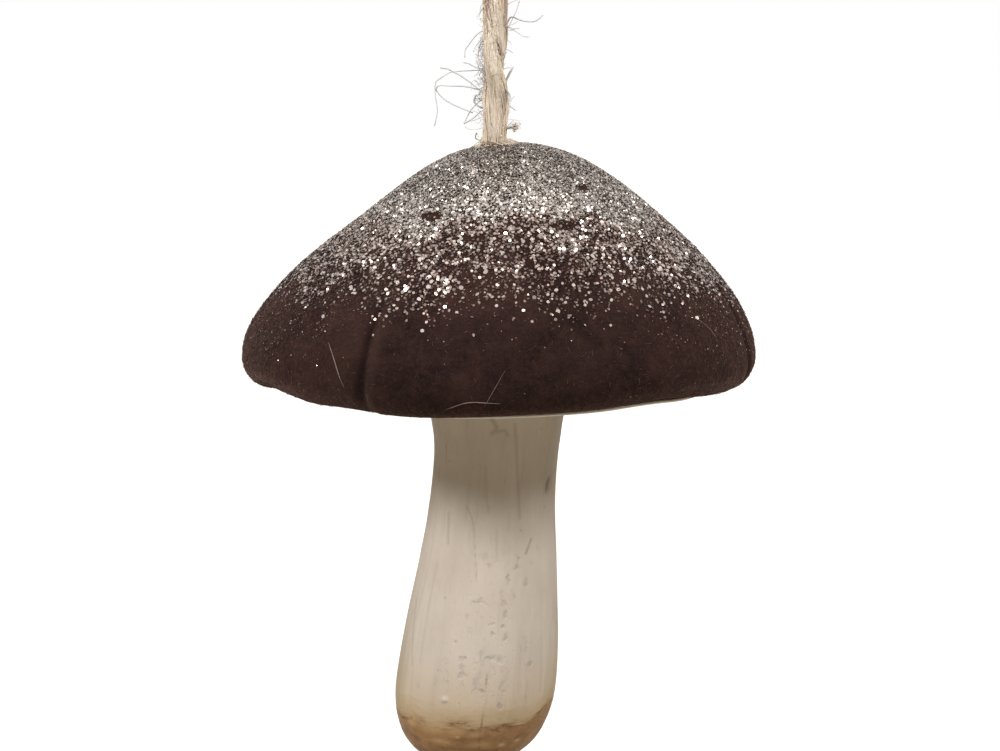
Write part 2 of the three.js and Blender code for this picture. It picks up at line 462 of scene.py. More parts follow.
CAP_ROWS = 190
CAP_COLUMNS = 400
INNER_STEP = 5
outline = cap_line[np.searchsorted(cap_line[:FINE, 0], HOLE_X):]
outline = spaced(np.concatenate([[(HOLE_X, CAP_HEIGHT)], outline]), CAP_ROWS)
cap_angle = ring_angles(CAP_COLUMNS)


def cap_points():
    """The plain outer surface of the velvet as rows by columns, from the foot of the rim."""
    r = outline[:, 0][:, None]
    z = np.repeat(outline[:, 1][:, None], CAP_COLUMNS, 1)
    top = (outline[:, 1] > CAP_HEIGHT / 2)[:, None]
    widen = np.where(top, smooth((r - HOLE_X) / (CROWN_ZONE - HOLE_X)), 1)
    across = r * (HOLE_Y / HOLE_X + (1 - HOLE_Y / HOLE_X) * widen)
    middle = np.where(r < CROWN_ZONE, (CAP_X + CROWN_SHIFT) * widen, CAP_X + crown_shift(z))
    middle = np.where(top, middle, CAP_X + crown_shift(z))
    x = middle + r * np.sin(cap_angle)
    y = -across * np.cos(cap_angle)
    from_crown = np.hypot(x - CAP_X - CROWN_SHIFT, y)
    dome = np.interp(from_crown, crown_line[:, 0], crown_line[:, 1])
    z = np.where(top & (r < CROWN_ZONE), dome, z)
    return np.stack([x, y, z], -1)


# Pleats where the fabric is taken in: angle at the foot, drift with height, depth, half width, highest point
# and how far the fold beside it is raised
PLEATS = [
    (-30.3, -0.1, 0.5, 0.75, 24, 0.26),
    (75.2, -0.05, 0.52, 0.58, 22, 0.22),
    (148, 0.2, 0.42, 0.8, 18, 0.24),
    (-148, -0.15, 0.4, 0.75, 16, 0.22),
    (-99, 0.1, 0.25, 0.7, 13, 0.15),
]
# Places pressed in: angle, height, depth, half width in degrees, half height
DENTS = [(-90, 14, 0.42, 30, 5), (90, 17, 0.25, 26, 5)]
# How far the foot of the rim is drawn up, by angle
RIM_RISE = [
    (-180, 0.0), (-120, 0.2), (-90, 0.0), (-82, 0.05), (-78, 0.25), (-74, 0.65), (-68, 1.1), (-60, 0.9),
    (-54, 0.42), (-48, 0.0), (-41, 0.2), (-33, 0.0), (-25, -0.4), (-15, -0.25), (0, 0.1), (15, 0.35),
    (28, 0.7), (37, 1.2), (46, 1.25), (53, 0.9), (61, 0.5), (70, 0.3), (78, 0.15), (90, 0.1), (150, 0.15),
    (180, 0.0),
]
RIM_SOFTEN = 13
PRESSED = 0.32  # the glitter's binder lays the pile down by this much
PRESSED_FROM = 13
PRESSED_TO = 21
UNEVEN = 0.20
RUFFLED = 0.05
HOLE_CALM = 4  # the fabric lies even this far round the hole
RIM_DRAWN = 11  # the rim's foot draws the fabric with it up to this height
CAP_BACK = (0, 1, 0.2)

flat_cap = cap_points()
flat_normals = grid_normals(flat_cap, CAP_BACK)


def rim_rise(angle):
    """How far the foot of the rim is drawn up at each of a ring's angles, in degrees."""
    drawn = from_table(angle, RIM_RISE)
    ring = np.concatenate([drawn[-RIM_SOFTEN:], drawn, drawn[:RIM_SOFTEN]])
    kernel = np.hanning(RIM_SOFTEN + 2) / np.hanning(RIM_SOFTEN + 2).sum()
    return np.convolve(ring, kernel, "same")[RIM_SOFTEN:-RIM_SOFTEN]


def form_cap(points, normals):
    """The cap as it was covered by hand: uneven, pleated, with a rim that isn't quite level."""
    z = points[..., 2]
    angle = np.degrees(cap_angle)[None]
    under = (outline[:, 0] <= foot_radius) & (outline[:, 1] < CAP_HEIGHT / 4)
    calm = np.where(under, 0.7 + 0.3 * smooth((outline[:, 0] - hem_radius - 2.4) / 2.6), 1)[:, None]
    swell = UNEVEN * noise_at(points, 15, 1) + RUFFLED * noise_at(points, 4.5, 2)
    swell = swell * smooth((outline[:, 0] - HOLE_X) / HOLE_CALM)[:, None]
    folds = np.zeros(z.shape)
    ridges = np.zeros(z.shape)
    for foot, drift, depth, width, reach, raised in PLEATS:
        wander = 0.25 * np.sin(z * 0.33 + foot)
        off = np.radians((angle - foot - drift * z + 180) % 360 - 180) * CAP_RADIUS + wander
        fade = smooth((reach - z) / (0.55 * reach)) * (0.25 + 0.75 * smooth(z / 3.5))
        crease = fade * np.exp(-(off / width) ** 2)
        folds = np.maximum(folds, crease)
        swell = swell - depth * crease
        ridge = fade * np.exp(-((off - 2.3 * width) / (1.3 * width)) ** 2)
        ridges = np.maximum(ridges, ridge)
        swell = swell + raised * ridge
    for around, up, depth, wide, high in DENTS:
        off = ((angle - around + 180) % 360 - 180) / wide
        swell = swell - depth * np.exp(-off ** 2 - ((z - up) / high) ** 2)
    swell = swell - PRESSED * smooth((z - PRESSED_FROM) / (PRESSED_TO - PRESSED_FROM))
    formed = points + normals * (swell * calm)[..., None]
    formed[..., 2] += rim_rise(angle[0]) * calm * smooth((RIM_DRAWN - z) / RIM_DRAWN)
    return formed, folds, ridges


velvet_out, velvet_folds, ridge_highlight = form_cap(flat_cap, flat_normals)
velvet_normals = grid_normals(velvet_out, CAP_BACK)
velvet_in = (flat_cap - flat_normals * VELVET)[::-1][::INNER_STEP]
to_row = np.array([0, 0, RIM_FOOT_Z])
velvet_rows = np.concatenate([velvet_out, velvet_in])
velvet_points = velvet_rows.reshape(-1, 3) + to_row
velvet_faces = grid_faces(len(velvet_rows), CAP_COLUMNS, wrap_rows=True)

look = Look("velvet")
place = look.place()
patches = look.noise(look.stretched(place, (1, 1, 0.7)), 80, 4, 0.7)
blotches = look.noise(place, 260, 3, 0.7)
tufts = look.noise(place, 1500, 3, 0.7)
pile = look.noise(place, 4200, 2, 0.7)
specks = look.noise(place, 3300, 1, 0.5)
# Painted sheen: lighter specks of pile are laid into the colour where the velvet turns away from the view, as
# its sheen would show them.
painted_sheen_specks = look.times(look.level(look.facing(), 0.15, 0.8), look.level(tufts, 0.48, 0.70, 0, 0.62))
velvet_colour = look.coats(
    (0.0096, 0.0056, 0.0052),
    (patches, 0.36, 0.64, 1, (0.0320, 0.0158, 0.0138)),
    (blotches, 0.46, 0.70, 0.6, (0.046, 0.0225, 0.0180)),
    (tufts, 0.48, 0.78, 0.45, (0.058, 0.0265, 0.0220)),
    (pile, 0.50, 0.80, 0.45, (0.068, 0.033, 0.028)),
    (specks, 0.70, 0.82, 0.24, (0.14, 0.088, 0.078)),
    (painted_sheen_specks, (0.145, 0.070, 0.058)),
    # Painted highlight: the raised fold beside each pleat is coloured lighter.
    (look.value("ridge"), (0.066, 0.036, 0.030)),
    # Painted shade: the crease of each pleat is coloured near black.
    (look.value("fold"), (0.006, 0.0034, 0.0032)),
)
look.set(Base_Color=velvet_colour, Roughness=0.9, Specular_IOR_Level=0.06)
look.set(Sheen_Weight=0.19, Sheen_Roughness=0.35, Sheen_Tint=(0.97, 0.62, 0.54))
look.bump(look.plus(look.plus(look.times(tufts, 1.4), pile), blotches), 0.00026, 0.6)

velvet = new_object("velvet_cover", velvet_points, velvet_faces, look)
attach(velvet, "mushroom")
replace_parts(velvet, "cap_velvet")
unseen_side = np.zeros((len(velvet_in), CAP_COLUMNS))
# Masks of the pleats, for the painted shade in their creases and the painted highlight on their raised folds.
point_values(
    velvet,
    fold=0.75 * np.concatenate([velvet_folds, unseen_side]).ravel(),
    ridge=0.4 * np.concatenate([ridge_highlight, unseen_side]).ravel(),
)

cap_tree = ray_tree(velvet_points, velvet_faces[:(CAP_ROWS - 1) * CAP_COLUMNS].tolist())

# Glitter: closed six-sided flakes, dense on the crown and thinning out down the slope

# Height above the foot of the rim, share of the surface covered
GLITTER_COVER = [
    (9, 0.0), (12, 0.0006), (13, 0.004), (14.5, 0.035), (16, 0.10), (17.5, 0.205), (19, 0.315), (21, 0.385),
    (24, 0.45), (26.5, 0.50), (28, 0.60), (29.3, 0.86), (40, 0.91),
]
MOST_COVER = 0.93
FLAKE = 0.44
SIDE_FLAKE = 0.34
FINE_FLAKE = 0.28
FLAKE_DEPTH = 0.08
FLAKE_TILT = 0.30
FLAKE_POINTS = 7
HEXAGON = 0.65  # area of a flake one across
FINE_FROM = 29.6
FINE_OVER = 4
DENSE_FROM = 28.4
# Lower edge of the dense glitter, by pixel
DENSE_EDGE = [
    (352, 224), (380, 222), (400, 224), (420, 231), (434, 231), (446, 221), (468, 217), (488, 222),
    (503, 227), (511, 213), (528, 217), (546, 213), (560, 219), (590, 214), (618, 223), (648, 226),
]
# Places left almost bare, by pixel: x, y, half width, half height, share of the flakes left
BARE_PLACES = [
    (431.5, 217, 14, 5.5, 0.05), (583, 188, 7.5, 4.2, 0.02), (515, 222, 5, 7, 0.5), (530, 240, 11, 4.5, 0.45),
    (568, 226, 16, 5, 0.25),
]


def dense_edge(points):
    """Height of the dense glitter's lower edge at the angle of each point on the cap."""
    hits = [seen_on(cap_tree, x, y) for x, y in DENSE_EDGE]
    angles = [math.atan2(hit.x - CAP_X, -hit.y) for hit in hits]
    heights = [hit.z - RIM_FOOT_Z for hit in hits]
    beyond = [angles[0] - 0.35, *angles, angles[-1] + 0.35]
    at = np.arctan2(points[:, 0] - CAP_X, -points[:, 1])
    return np.interp(at, beyond, [DENSE_FROM, *heights, DENSE_FROM])


def flake_places(draw):
    """Points on the velvet with normals, sizes, heights over the dense edge and clumps, as the cover asks."""
    a = velvet_out[:-1]
    b = velvet_out[1:]
    corners = np.stack([a, np.roll(a, -1, 1), np.roll(b, -1, 1), b], 2).reshape(-1, 4, 3)
    cross = np.cross(corners[:, 2] - corners[:, 0], corners[:, 3] - corners[:, 1])
    area = np.linalg.norm(cross, axis=1) / 2
    middle = corners.mean(1)
    normal = unit(velvet_normals[:-1].reshape(-1, 3))
    wave = noise_at(middle, 9, 5)
    fine = noise_at(middle, 2.6, 6)
    grain = noise_at(middle, 1.1, 8)
    lowered = DENSE_FROM - dense_edge(middle)
    lowered = lowered * smooth((middle[:, 2] - 19) / 5)
    unseen = smooth((middle[:, 1] + 14) / 12)
    height = middle[:, 2] + lowered + (1.1 + 1.6 * unseen) * wave + (1.0 + 0.8 * unseen) * fine
    cover = from_table(height, GLITTER_COVER)
    front = smooth((-middle[:, 1] - 8) / 20)
    cover = np.minimum(cover * (1.5 - 0.42 * front), MOST_COVER)
    clumps = np.clip(1 + 0.8 * fine + 0.4 * wave + 1.1 * grain, 0.08, 2.3)
    share = 1 + (clumps - 1) * smooth((0.8 - cover) / 0.3)
    share = np.where(middle[:, 2] < CAP_HEIGHT / 6, 0, share)
    across, down = to_pixel(middle + to_row)
    for x, y, wide, high, left in BARE_PLACES:
        inside = np.hypot((across - x) / wide, (down - y) / high) + 0.35 * fine
        share = np.where(middle[:, 1] < 0, share * np.clip(3 * (inside - 0.7), left, 1), share)
    fine_share = smooth((middle[:, 2] - FINE_FROM) / FINE_OVER)
    coarse = SIDE_FLAKE + (FLAKE - SIDE_FLAKE) * front
    size = coarse + (FINE_FLAKE - coarse) * fine_share
    layers = from_table(cover * share, [(0, 0), (0.5, 0.62), (MOST_COVER, 1.5)])
    wanted = layers * area / (HEXAGON * size ** 2)
    running = np.floor(np.cumsum(wanted) + draw.random())
    counts = np.diff(running, prepend=0).astype(int)
    face = np.repeat(np.arange(len(area)), counts)
    u = draw.random((len(face), 1))
    v = draw.random((len(face), 1))
    c = corners[face]
    spot = (c[:, 0] * (1 - u) + c[:, 1] * u) * (1 - v) + (c[:, 3] * (1 - u) + c[:, 2] * u) * v
    return spot, normal[face], size[face], height[face], grain[face]


def flake_mesh(draw, spot, normal, size, tone):
    count = len(spot)
    axis = unit(normal + draw.normal(0, FLAKE_TILT, (count, 3)))
    side = unit(np.cross(axis, draw.normal(size=(count, 3))))
    width = size * (0.64 + 0.72 * tone) * np.exp(draw.normal(0, 0.16, count)) / 2
    ring = turned_to(side[:, None], np.cross(axis, side)[:, None], np.arange(6) * np.pi / 3)
    lift = 0.05 + 0.12 * draw.random(count)
    centre = spot + normal * lift[:, None]
    rim = centre[:, None] + ring * width[:, None, None]
    tip = centre - axis * FLAKE_DEPTH
    points = np.concatenate([rim, tip[:, None]], 1)
    top = [(0, k, k + 1) for k in range(1, 5)]
    under = [(6, (k + 1) % 6, k) for k in range(6)]
    faces = np.array(top + under)[None] + (np.arange(count) * FLAKE_POINTS)[:, None, None]
    return points.reshape(-1, 3) + to_row, faces.reshape(-1, 3)


def glitter_look(name, low, middle, high):
    look = Look(name)
    tone = look.value("tone")
    grey = look.ramp(tone, (0.0, low), (0.4, middle), (1.0, high))
    warm = look.mix(look.value("hue"), (1.0, 0.93, 0.87), (1.0, 0.97, 0.95))
    look.set(Base_Color=look.mix(1.0, grey, warm, "MULTIPLY"), Metallic=0.85)
    look.set(Roughness=look.level(tone, 0, 1, 0.42, 0.2))
    return look


def glitter_piece(name, draw, places, tone, tones):
    """A piece of flakes. Places are their spots, normals and sizes."""
    points, faces = flake_mesh(draw, *places, tone)
    flakes = new_object(name, points, faces, glitter_look(name, *tones), shade_smooth=False)
    hue = draw.random(len(tone))
    point_values(flakes, tone=np.repeat(tone, FLAKE_POINTS), hue=np.repeat(hue, FLAKE_POINTS))
    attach(flakes, "mushroom")
    return flakes


# One glitter in two sets of tones: the crown's are lighter as painted light, and the slope's darker and
# browner as painted shade.
LIT_CROWN_TONES = ((0.110, 0.095, 0.083), (0.340, 0.312, 0.288), (0.75, 0.715, 0.685))
SHADED_SLOPE_TONES = ((0.050, 0.031, 0.027), (0.155, 0.108, 0.092), (0.65, 0.592, 0.557))
draw = np.random.default_rng(11)
flake_spot, flake_normal, flake_size, flake_level, flake_grain = flake_places(draw)
flake_back = flake_spot[:, 1] > 0
# Each piece's share of bright flakes at the front and at the sides. Bright flakes stand in for glints, so
# these shares are painted glints, and the band's high share is a painted highlight band. Lower down the slope
# fewer flakes are bright.
for name, low, high, back, tones, glint_share, side_glint_share in (
    ("glitter_crown", 34.6, 99, None, LIT_CROWN_TONES, 0.17, 0.17),
    ("glitter_brow", 31.6, 34.6, None, LIT_CROWN_TONES, 0.21, 0.21),
    ("glitter_band", DENSE_FROM, 31.6, None, LIT_CROWN_TONES, 0.41, 0.43),
    ("glitter_slope_front", 0, DENSE_FROM, False, SHADED_SLOPE_TONES, 0.17, 0.71),
    ("glitter_slope_back", 0, DENSE_FROM, True, SHADED_SLOPE_TONES, 0.17, 0.71),
):
    chosen = (flake_level >= low) & (flake_level < high)
    if back is not None:
        chosen = chosen & (flake_back == back)
    count = int(chosen.sum())
    to_side = 1 - smooth((-flake_spot[chosen, 1] - 14) / 18)
    low_down = 1 - smooth((flake_level[chosen] - 14) / 7)
    painted_glint = glint_share + (side_glint_share - glint_share) * to_side
    painted_glint = draw.random(count) < painted_glint * (1 - 0.55 * low_down)
    tone = np.where(painted_glint, draw.beta(2.4, 1.7, count), draw.beta(1.35, 2.9, count))
    tone = np.clip(tone + 0.3 * flake_grain[chosen], 0, 1)
    places = (flake_spot[chosen], flake_normal[chosen], flake_size[chosen])
    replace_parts(glitter_piece(name, draw, places, tone, tones), "glitter_coat")


def scattered(draw, count, tries, spare_rows, chance):
    """Points and normals at places drawn on the velvet below its crown, by a chance and clear of folds."""
    rows = draw.integers(CAP_ROWS // 3, CAP_ROWS - spare_rows, tries * count)
    columns = draw.integers(0, CAP_COLUMNS, tries * count)
    from_front = np.abs(np.degrees(cap_angle[columns]))
    share = chance(from_front, velvet_out[rows, columns, 2]) * (1 - velvet_folds[rows, columns])
    kept = np.nonzero(draw.random(len(rows)) < share)[0][:count]
    return velvet_out[rows[kept], columns[kept]], velvet_normals[rows[kept], columns[kept]]


# Fine dust of the glitter that has settled on the velvet, most at the sides

DUST_FLAKES = 9000
DUST_FLAKE = 0.17
DUST_TONES = ((0.055, 0.032, 0.03), (0.165, 0.108, 0.098), (0.48, 0.40, 0.37))


def dust_chance(from_front, z):
    to_side = smooth((from_front - 28) / 42)
    settled = (0.1 + 0.9 * to_side) * smooth((26 - z) / 8)
    return settled * (0.06 + 0.94 * smooth((z - 7 + 4 * to_side) / 9))


dust_spot, dust_normal = scattered(draw, DUST_FLAKES, 6, 22, dust_chance)
dust_spot = dust_spot + draw.normal(0, 0.05, dust_spot.shape)
dust_places = (dust_spot, dust_normal, np.full(len(dust_spot), DUST_FLAKE))
glitter_piece("glitter_dust", draw, dust_places, draw.beta(1.3, 2.3, len(dust_spot)), DUST_TONES)

# Nap: short fibres that stand out of the velvet's pile, most at the sides

NAP_FIBRES = 5600
NAP = 0.03
NAP_STEPS = 4
NAP_SIDES = 3


def nap_chance(from_front, z):
    return (0.2 + 0.8 * smooth((from_front - 15) / 50)) * smooth((24 - z) / 8)


draw = np.random.default_rng(53)
nap_foot, nap_normal = scattered(draw, NAP_FIBRES, 4, 14, nap_chance)
nap_aside = draw.normal(0, 0.15, nap_foot.shape)
nap_aside -= nap_normal * (nap_aside * nap_normal).sum(1, keepdims=True)
nap_foot = nap_foot + nap_aside
nap_heading = unit(np.cross(nap_normal, draw.normal(size=nap_foot.shape)))
nap_length = draw.uniform(0.35, 1.0, (len(nap_foot), 1))
nap_lines = []
for t in np.linspace(0, 1, NAP_STEPS):
    lifted = nap_normal * (0.02 + 0.2 * nap_length * t * (1 - t))
    nap_lines.append(nap_foot + nap_heading * nap_length * t + lifted)
nap_radii = NAP * np.linspace(1, 0.6, NAP_STEPS)[None] * np.exp(draw.normal(0, 0.2, (len(nap_foot), 1)))
points, faces = tubes(np.stack(nap_lines, 1), nap_radii, NAP_SIDES)
look = fibre_look(
    "velvet_nap",
    [(0.0, (0.036, 0.015, 0.013)), (1.0, (0.24, 0.125, 0.107))],
    1800,
    (0.4, 0.7, 0.5, (0.06, 0.034, 0.03)),
    Roughness=0.85,
    Specular_IOR_Level=0.1,
)
nap = new_object("velvet_nap", points + to_row, faces, look)
point_values(nap, tone=np.repeat(draw.beta(1.3, 2.2, len(nap_foot)), NAP_STEPS * NAP_SIDES))
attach(nap, "mushroom")

# Stem: flared top, neck, bulb and rounded foot, with the grain, pits and crack of its painted coat

STEM_ROWS = 330
STEM_COLUMNS = 280
TIP = 0.02
top_r = STEM_TOP / 2
neck_r = STEM_NECK / 2
bulb_r = STEM_BULB / 2
neck_z = -NECK_DEPTH
bulb_z = FOOT_HEIGHT - STEM_LENGTH
neck_line = bezier(
    (top_r, STEM_TOP_Z), (top_r - 0.8, neck_z * 0.35), (neck_r, neck_z * 0.5), (neck_r, neck_z), FINE
)
swell_from = neck_z + 0.35 * (bulb_z - neck_z)
swell_to = neck_z + 0.68 * (bulb_z - neck_z)
bulb_line = bezier((neck_r, neck_z), (neck_r, swell_from), (bulb_r, swell_to), (bulb_r, bulb_z), FINE)
full_z = bulb_z - FOOT_FULLNESS * FOOT_HEIGHT
full_r = FOOT_FULLNESS * bulb_r
foot_line = bezier((bulb_r, bulb_z), (bulb_r, full_z), (full_r, -STEM_LENGTH), (0, -STEM_LENGTH), FINE)
stem_outline = spaced(np.concatenate([neck_line, bulb_line[1:], foot_line[1:]]), STEM_ROWS)
stem_outline[-1, 0] = TIP
stem_angle = ring_angles(STEM_COLUMNS)


def stem_shift(z):
    lean = np.maximum(0, (-z / STEM_LENGTH - 0.13) / 0.81) ** 1.15
    return CAP_X + STEM_OFFSET - STEM_LEAN * lean


stem_r = np.repeat(stem_outline[:, :1], STEM_COLUMNS, 1)
stem_z = np.repeat(stem_outline[:, 1:], STEM_COLUMNS, 1)
stem_plain = around(stem_angle, stem_r, stem_z, stem_shift(stem_z))
stem_normals = grid_normals(stem_plain, (0, 1, 0))
stem_tree = ray_tree(stem_plain.reshape(-1, 3) + to_row, grid_faces(STEM_ROWS, STEM_COLUMNS).tolist())


def stem_spot(x, y):
    """Angle and height on the stem of a pixel of the photograph."""
    hit = seen_on(stem_tree, x, y)
    z = hit.z - RIM_FOOT_Z
    return math.atan2(hit.x - float(stem_shift(z)), -hit.y), z


# Worn places in the photograph, by pixel: x, y, half width, half height in pixels, strength
STEM_WORN = [
    (478, 602, 6, 2.5, 0.7), (467, 618, 2.5, 3.5, 0.6), (505, 603, 2.5, 4, 0.9), (505, 613.5, 2.5, 6, 0.9),
    (492.5, 624, 2.5, 3, 0.8), (503.8, 627, 2.5, 3, 0.8), (492.5, 634, 2, 3, 0.8), (506, 639, 4.5, 4.5, 1.0),
    (527.4, 640, 2.5, 4, 0.6), (524, 648, 6, 7, 0.4), (529.5, 664, 2.5, 5, 0.7), (461.7, 659, 3.5, 3, 0.9),
    (462.7, 667, 2, 8, 0.7), (460.7, 675, 4, 3.5, 1.0), (439, 671, 4, 4, 0.35), (435.5, 680, 3, 6, 0.5),
    (446, 682, 8, 2.5, 0.6), (461.7, 686, 2, 7, 0.45), (481, 654, 6, 7, 0.45), (490.5, 658, 6, 3.5, 0.9),
    (501, 660, 4, 4, 0.9), (484, 667, 7, 10, 0.5), (475.5, 684, 4, 12, 0.7), (481, 691.5, 5, 3, 0.9),
    (501.5, 693, 3.5, 14, 0.6), (500.7, 707, 2.5, 3.5, 0.8), (525, 699, 4, 3, 0.4), (516, 704, 3, 3, 0.4),
    (418, 687.5, 3, 4, 0.4), (548, 485, 3.5, 6.5, 1.2), (538, 547, 2, 3, 0.5), (485, 556, 4.5, 3.5, 0.5),
    (489.7, 567.5, 2, 4, 0.8),
    (517.6, 559, 2, 4, 0.8), (517, 567.5, 3, 3.5, 0.8), (508, 580, 3, 7, 0.9), (526, 582.5, 2.5, 5, 0.8),
    (531, 562, 3, 3, 0.5), (488, 509.5, 2.5, 5, 0.3), (515.5, 596, 2.5, 5, 0.6), (497, 585, 15, 42, 0.17),
    (479, 632, 13, 32, 0.2), (483, 674, 14, 32, 0.27), (503, 684, 5, 32, 0.3), (448, 672, 13, 20, 0.22),
    (525, 658, 8, 22, 0.25), (470, 560, 10, 40, 0.12),
]
# Specks, by pixel: x, y, half width in pixels
STEM_SPECKS = [
    (544.5, 507, 1.0), (449, 461, 0.9), (541.5, 429, 0.9), (520.5, 530, 0.9), (445, 598, 1.0),
    (455, 642, 1.2), (498.5, 707, 1.5), (482, 691, 1.5),
]
# Scratches and cracks, by pixel: the points along each, half width in pixels, depth in millimetres and
# darkness
STEM_SCRATCHES = [
    (
        [(486.3, 674), (486.3, 688), (485.3, 702), (483.8, 713), (482.2, 722), (480.2, 732), (479, 748)],
        0.42, 0.11, 0.6,
    ),
    ([(531.5, 539), (528.5, 547), (526, 554)], 0.55, 0.1, 0.6),
    ([(466.7, 506), (471, 515.5), (473.3, 526), (474.5, 546), (476, 568), (476.4, 583)], 0.45, 0.07, 0.3),
    ([(491, 418), (495, 424), (496, 429), (492, 433.5)], 1.5, 0.1, 0.3),
    ([(498, 431.5), (504, 430.5), (507.5, 435)], 1.1, 0.08, 0.25),
    ([(549, 480), (547.5, 485), (547, 490)], 2.4, 0.1, 0.42),
    ([(446, 444.5), (445.5, 463)], 0.5, 0.06, 0.6),
    ([(438.8, 468), (438.5, 481)], 0.55, 0.05, 0.25),
    ([(515, 424), (516, 440), (517, 460), (518.5, 490), (519.4, 518)], 1.1, 0.06, 0.26),
    ([(485.5, 468), (486.5, 497), (488.5, 512)], 0.8, 0.05, 0.15),
    ([(448.7, 513), (448, 543)], 1.0, 0.06, 0.26),
    ([(497, 531), (497, 558)], 0.8, 0.05, 0.18),
    ([(416.5, 600), (413, 631), (411.4, 664)], 0.9, 0.06, 0.24),
    ([(437, 562), (430, 596), (427, 616), (423, 640), (420, 664)], 0.8, 0.05, 0.16),
    ([(541.5, 592), (541.5, 650), (540.5, 690)], 1.5, 0.04, 0.1),
]
# Bead of paint, by pixel: x, y, half width
STEM_BEAD = (444.4, 699.7, 3.3)
# Pale flecks in the stain, by pixel: x, y, half width, half height
STAIN_FLECKS = [(517, 740, 3, 1.6), (501.5, 745, 4, 2), (457.5, 737, 2.2, 1.3)]
# Lighter places in the stain, by pixel: x, y, half width, half height
STAIN_GOLD = [
    (433, 728, 19, 7), (456, 731, 14, 6), (475, 735, 10, 4), (412, 722, 8, 5), (440, 741, 10, 3),
    (480, 745, 17, 5),
]
# Upper edge of the stain, by pixel
STAIN_EDGE = [
    (402, 713), (411, 715), (420.5, 721.5), (436, 725), (451.5, 725.5), (472, 725), (487, 725.5),
    (503, 725.5), (518, 723.5), (527, 720), (535, 715), (541, 709.5), (546, 704), (551, 697.5),
]
UNSEEN_WORN = 26
WEAR_RAGGED = 0.5
SCRATCH_REACH = 1.2
BEAD_HEIGHT = 0.36
SPECK_DEPTH = 0.1
SPECK_DARK = 0.45
WEAR_DEPTH = 0.05
STEM_UNEVEN = 0.16
GROOVE = 0.07
FINE_GROOVE = 0.035
GRAIN_STRETCH = 0.055


def stem_distance(angle, z):
    """How far each point of the stem's grid is from one on it, round and up, in millimetres."""
    round_it = ((stem_angle - angle + np.pi) % (2 * np.pi) - np.pi)[None] * np.maximum(stem_r, 4)
    return round_it, stem_z - z


def stem_patch(x, y, wide, high):
    """1 on the stem at a pixel, falling off over half a width and half a height in pixels."""
    a, b = stem_distance(*stem_spot(x, y))
    return np.exp(-((a / wide) ** 2 + (b / high) ** 2) / PIXEL ** 2)


def mark_stem():
    """Depth below the plain surface and how strong each kind of mark is, on the stem's grid."""
    depth = np.zeros_like(stem_z)
    dark = np.zeros_like(stem_z)
    wear = np.zeros_like(stem_z)
    worn = [(*stem_spot(x, y), wide * PIXEL, high * PIXEL, much) for x, y, wide, high, much in STEM_WORN]
    draw = np.random.default_rng(23)
    for _ in range(UNSEEN_WORN):
        angle = np.pi + draw.uniform(-1.75, 1.75)
        size = draw.uniform(0.4, 1.1)
        z = draw.uniform(-48, -3)
        worn.append((angle, z, size, size * draw.uniform(1.2, 3.5), draw.uniform(0.3, 0.9)))
    ragged_a = WEAR_RAGGED * noise_at(stem_plain, 0.8, 14)
    ragged_b = WEAR_RAGGED * noise_at(stem_plain, 1.1, 15)
    for angle, z, wide, high, much in worn:
        a, b = stem_distance(angle, z)
        off = ((a + ragged_a) / wide) ** 2 + ((b + ragged_b) / high) ** 2
        wear = np.maximum(wear, much * np.exp(-(off ** 1.5)))
    for x, y, half in STEM_SPECKS:
        shape = stem_patch(x, y, half, half)
        depth += SPECK_DEPTH * shape
        dark = np.maximum(dark, SPECK_DARK * shape)
    for line, half, deep, tone in STEM_SCRATCHES:
        for angle, z in curve_through([stem_spot(x, y) for x, y in line], 14):
            a, b = stem_distance(angle, z)
            near = (np.abs(a) < SCRATCH_REACH) & (np.abs(b) < SCRATCH_REACH)
            shape = np.exp(-(np.hypot(a[near], b[near]) / (half * PIXEL * 1.5)) ** 2)
            depth[near] = np.maximum(depth[near], deep * shape)
            dark[near] = np.maximum(dark[near], tone * shape)
    x, y, half = STEM_BEAD
    a, b = stem_distance(*stem_spot(x, y))
    bead = np.sqrt(np.clip(1 - (a ** 2 + b ** 2) / (half * PIXEL) ** 2, 0, 1))
    marks = {
        "marks": dark,
        "wear": wear,
        "pale": 0.8 * np.max([stem_patch(*fleck) for fleck in STAIN_FLECKS], axis=0),
        "gold": 0.7 * np.max([stem_patch(*patch) for patch in STAIN_GOLD], axis=0),
        "bead": np.clip(3 * bead, 0, 1),
    }
    return depth + WEAR_DEPTH * wear - BEAD_HEIGHT * bead, marks


stem_depth, stem_marks = mark_stem()
grain_space = np.stack([stem_r * np.sin(stem_angle), stem_r * np.cos(stem_angle), stem_z * GRAIN_STRETCH], -1)
grooves = GROOVE * noise_at(grain_space, 1.5, 3) + FINE_GROOVE * noise_at(grain_space, 0.55, 4)
calm_foot = smooth((stem_z + STEM_LENGTH) / 6)
stem_swell = STEM_UNEVEN * noise_at(stem_plain, 9, 7) + calm_foot * grooves - stem_depth
stem_formed = stem_plain + stem_normals * stem_swell[..., None]

# Radius and depth below the stem's top of the socket for the pin
SOCKET = [
    (TIP, SOCKET_DEPTH), (SOCKET_RADIUS, SOCKET_DEPTH), (SOCKET_RADIUS, SOCKET_DEPTH / 2), (SOCKET_RADIUS, 0),
]
stem_rows = np.concatenate([[around(stem_angle, r, STEM_TOP_Z - depth) for r, depth in SOCKET], stem_formed])
stem_faces = grid_faces(len(stem_rows), STEM_COLUMNS).tolist()
stem_faces.append(list(range(STEM_COLUMNS)))
last_row = (len(stem_rows) - 1) * STEM_COLUMNS
stem_faces.append([last_row + k for k in reversed(range(STEM_COLUMNS))])


def with_socket(values, fill=0.0):
    """Values for the stem's points, with one value for all of the socket."""
    socket = np.full((len(SOCKET), *values.shape[1:]), fill)
    return np.concatenate([socket, values]).reshape(-1, *values.shape[2:])


# The brown stain on the foot: its edge, and brushed strokes where it dried
stain_spots = curve_through([stem_spot(x, y) for x, y in STAIN_EDGE], 6)
stain_edge = np.interp(stem_angle, stain_spots[:, 0], stain_spots[:, 1], period=2 * np.pi)

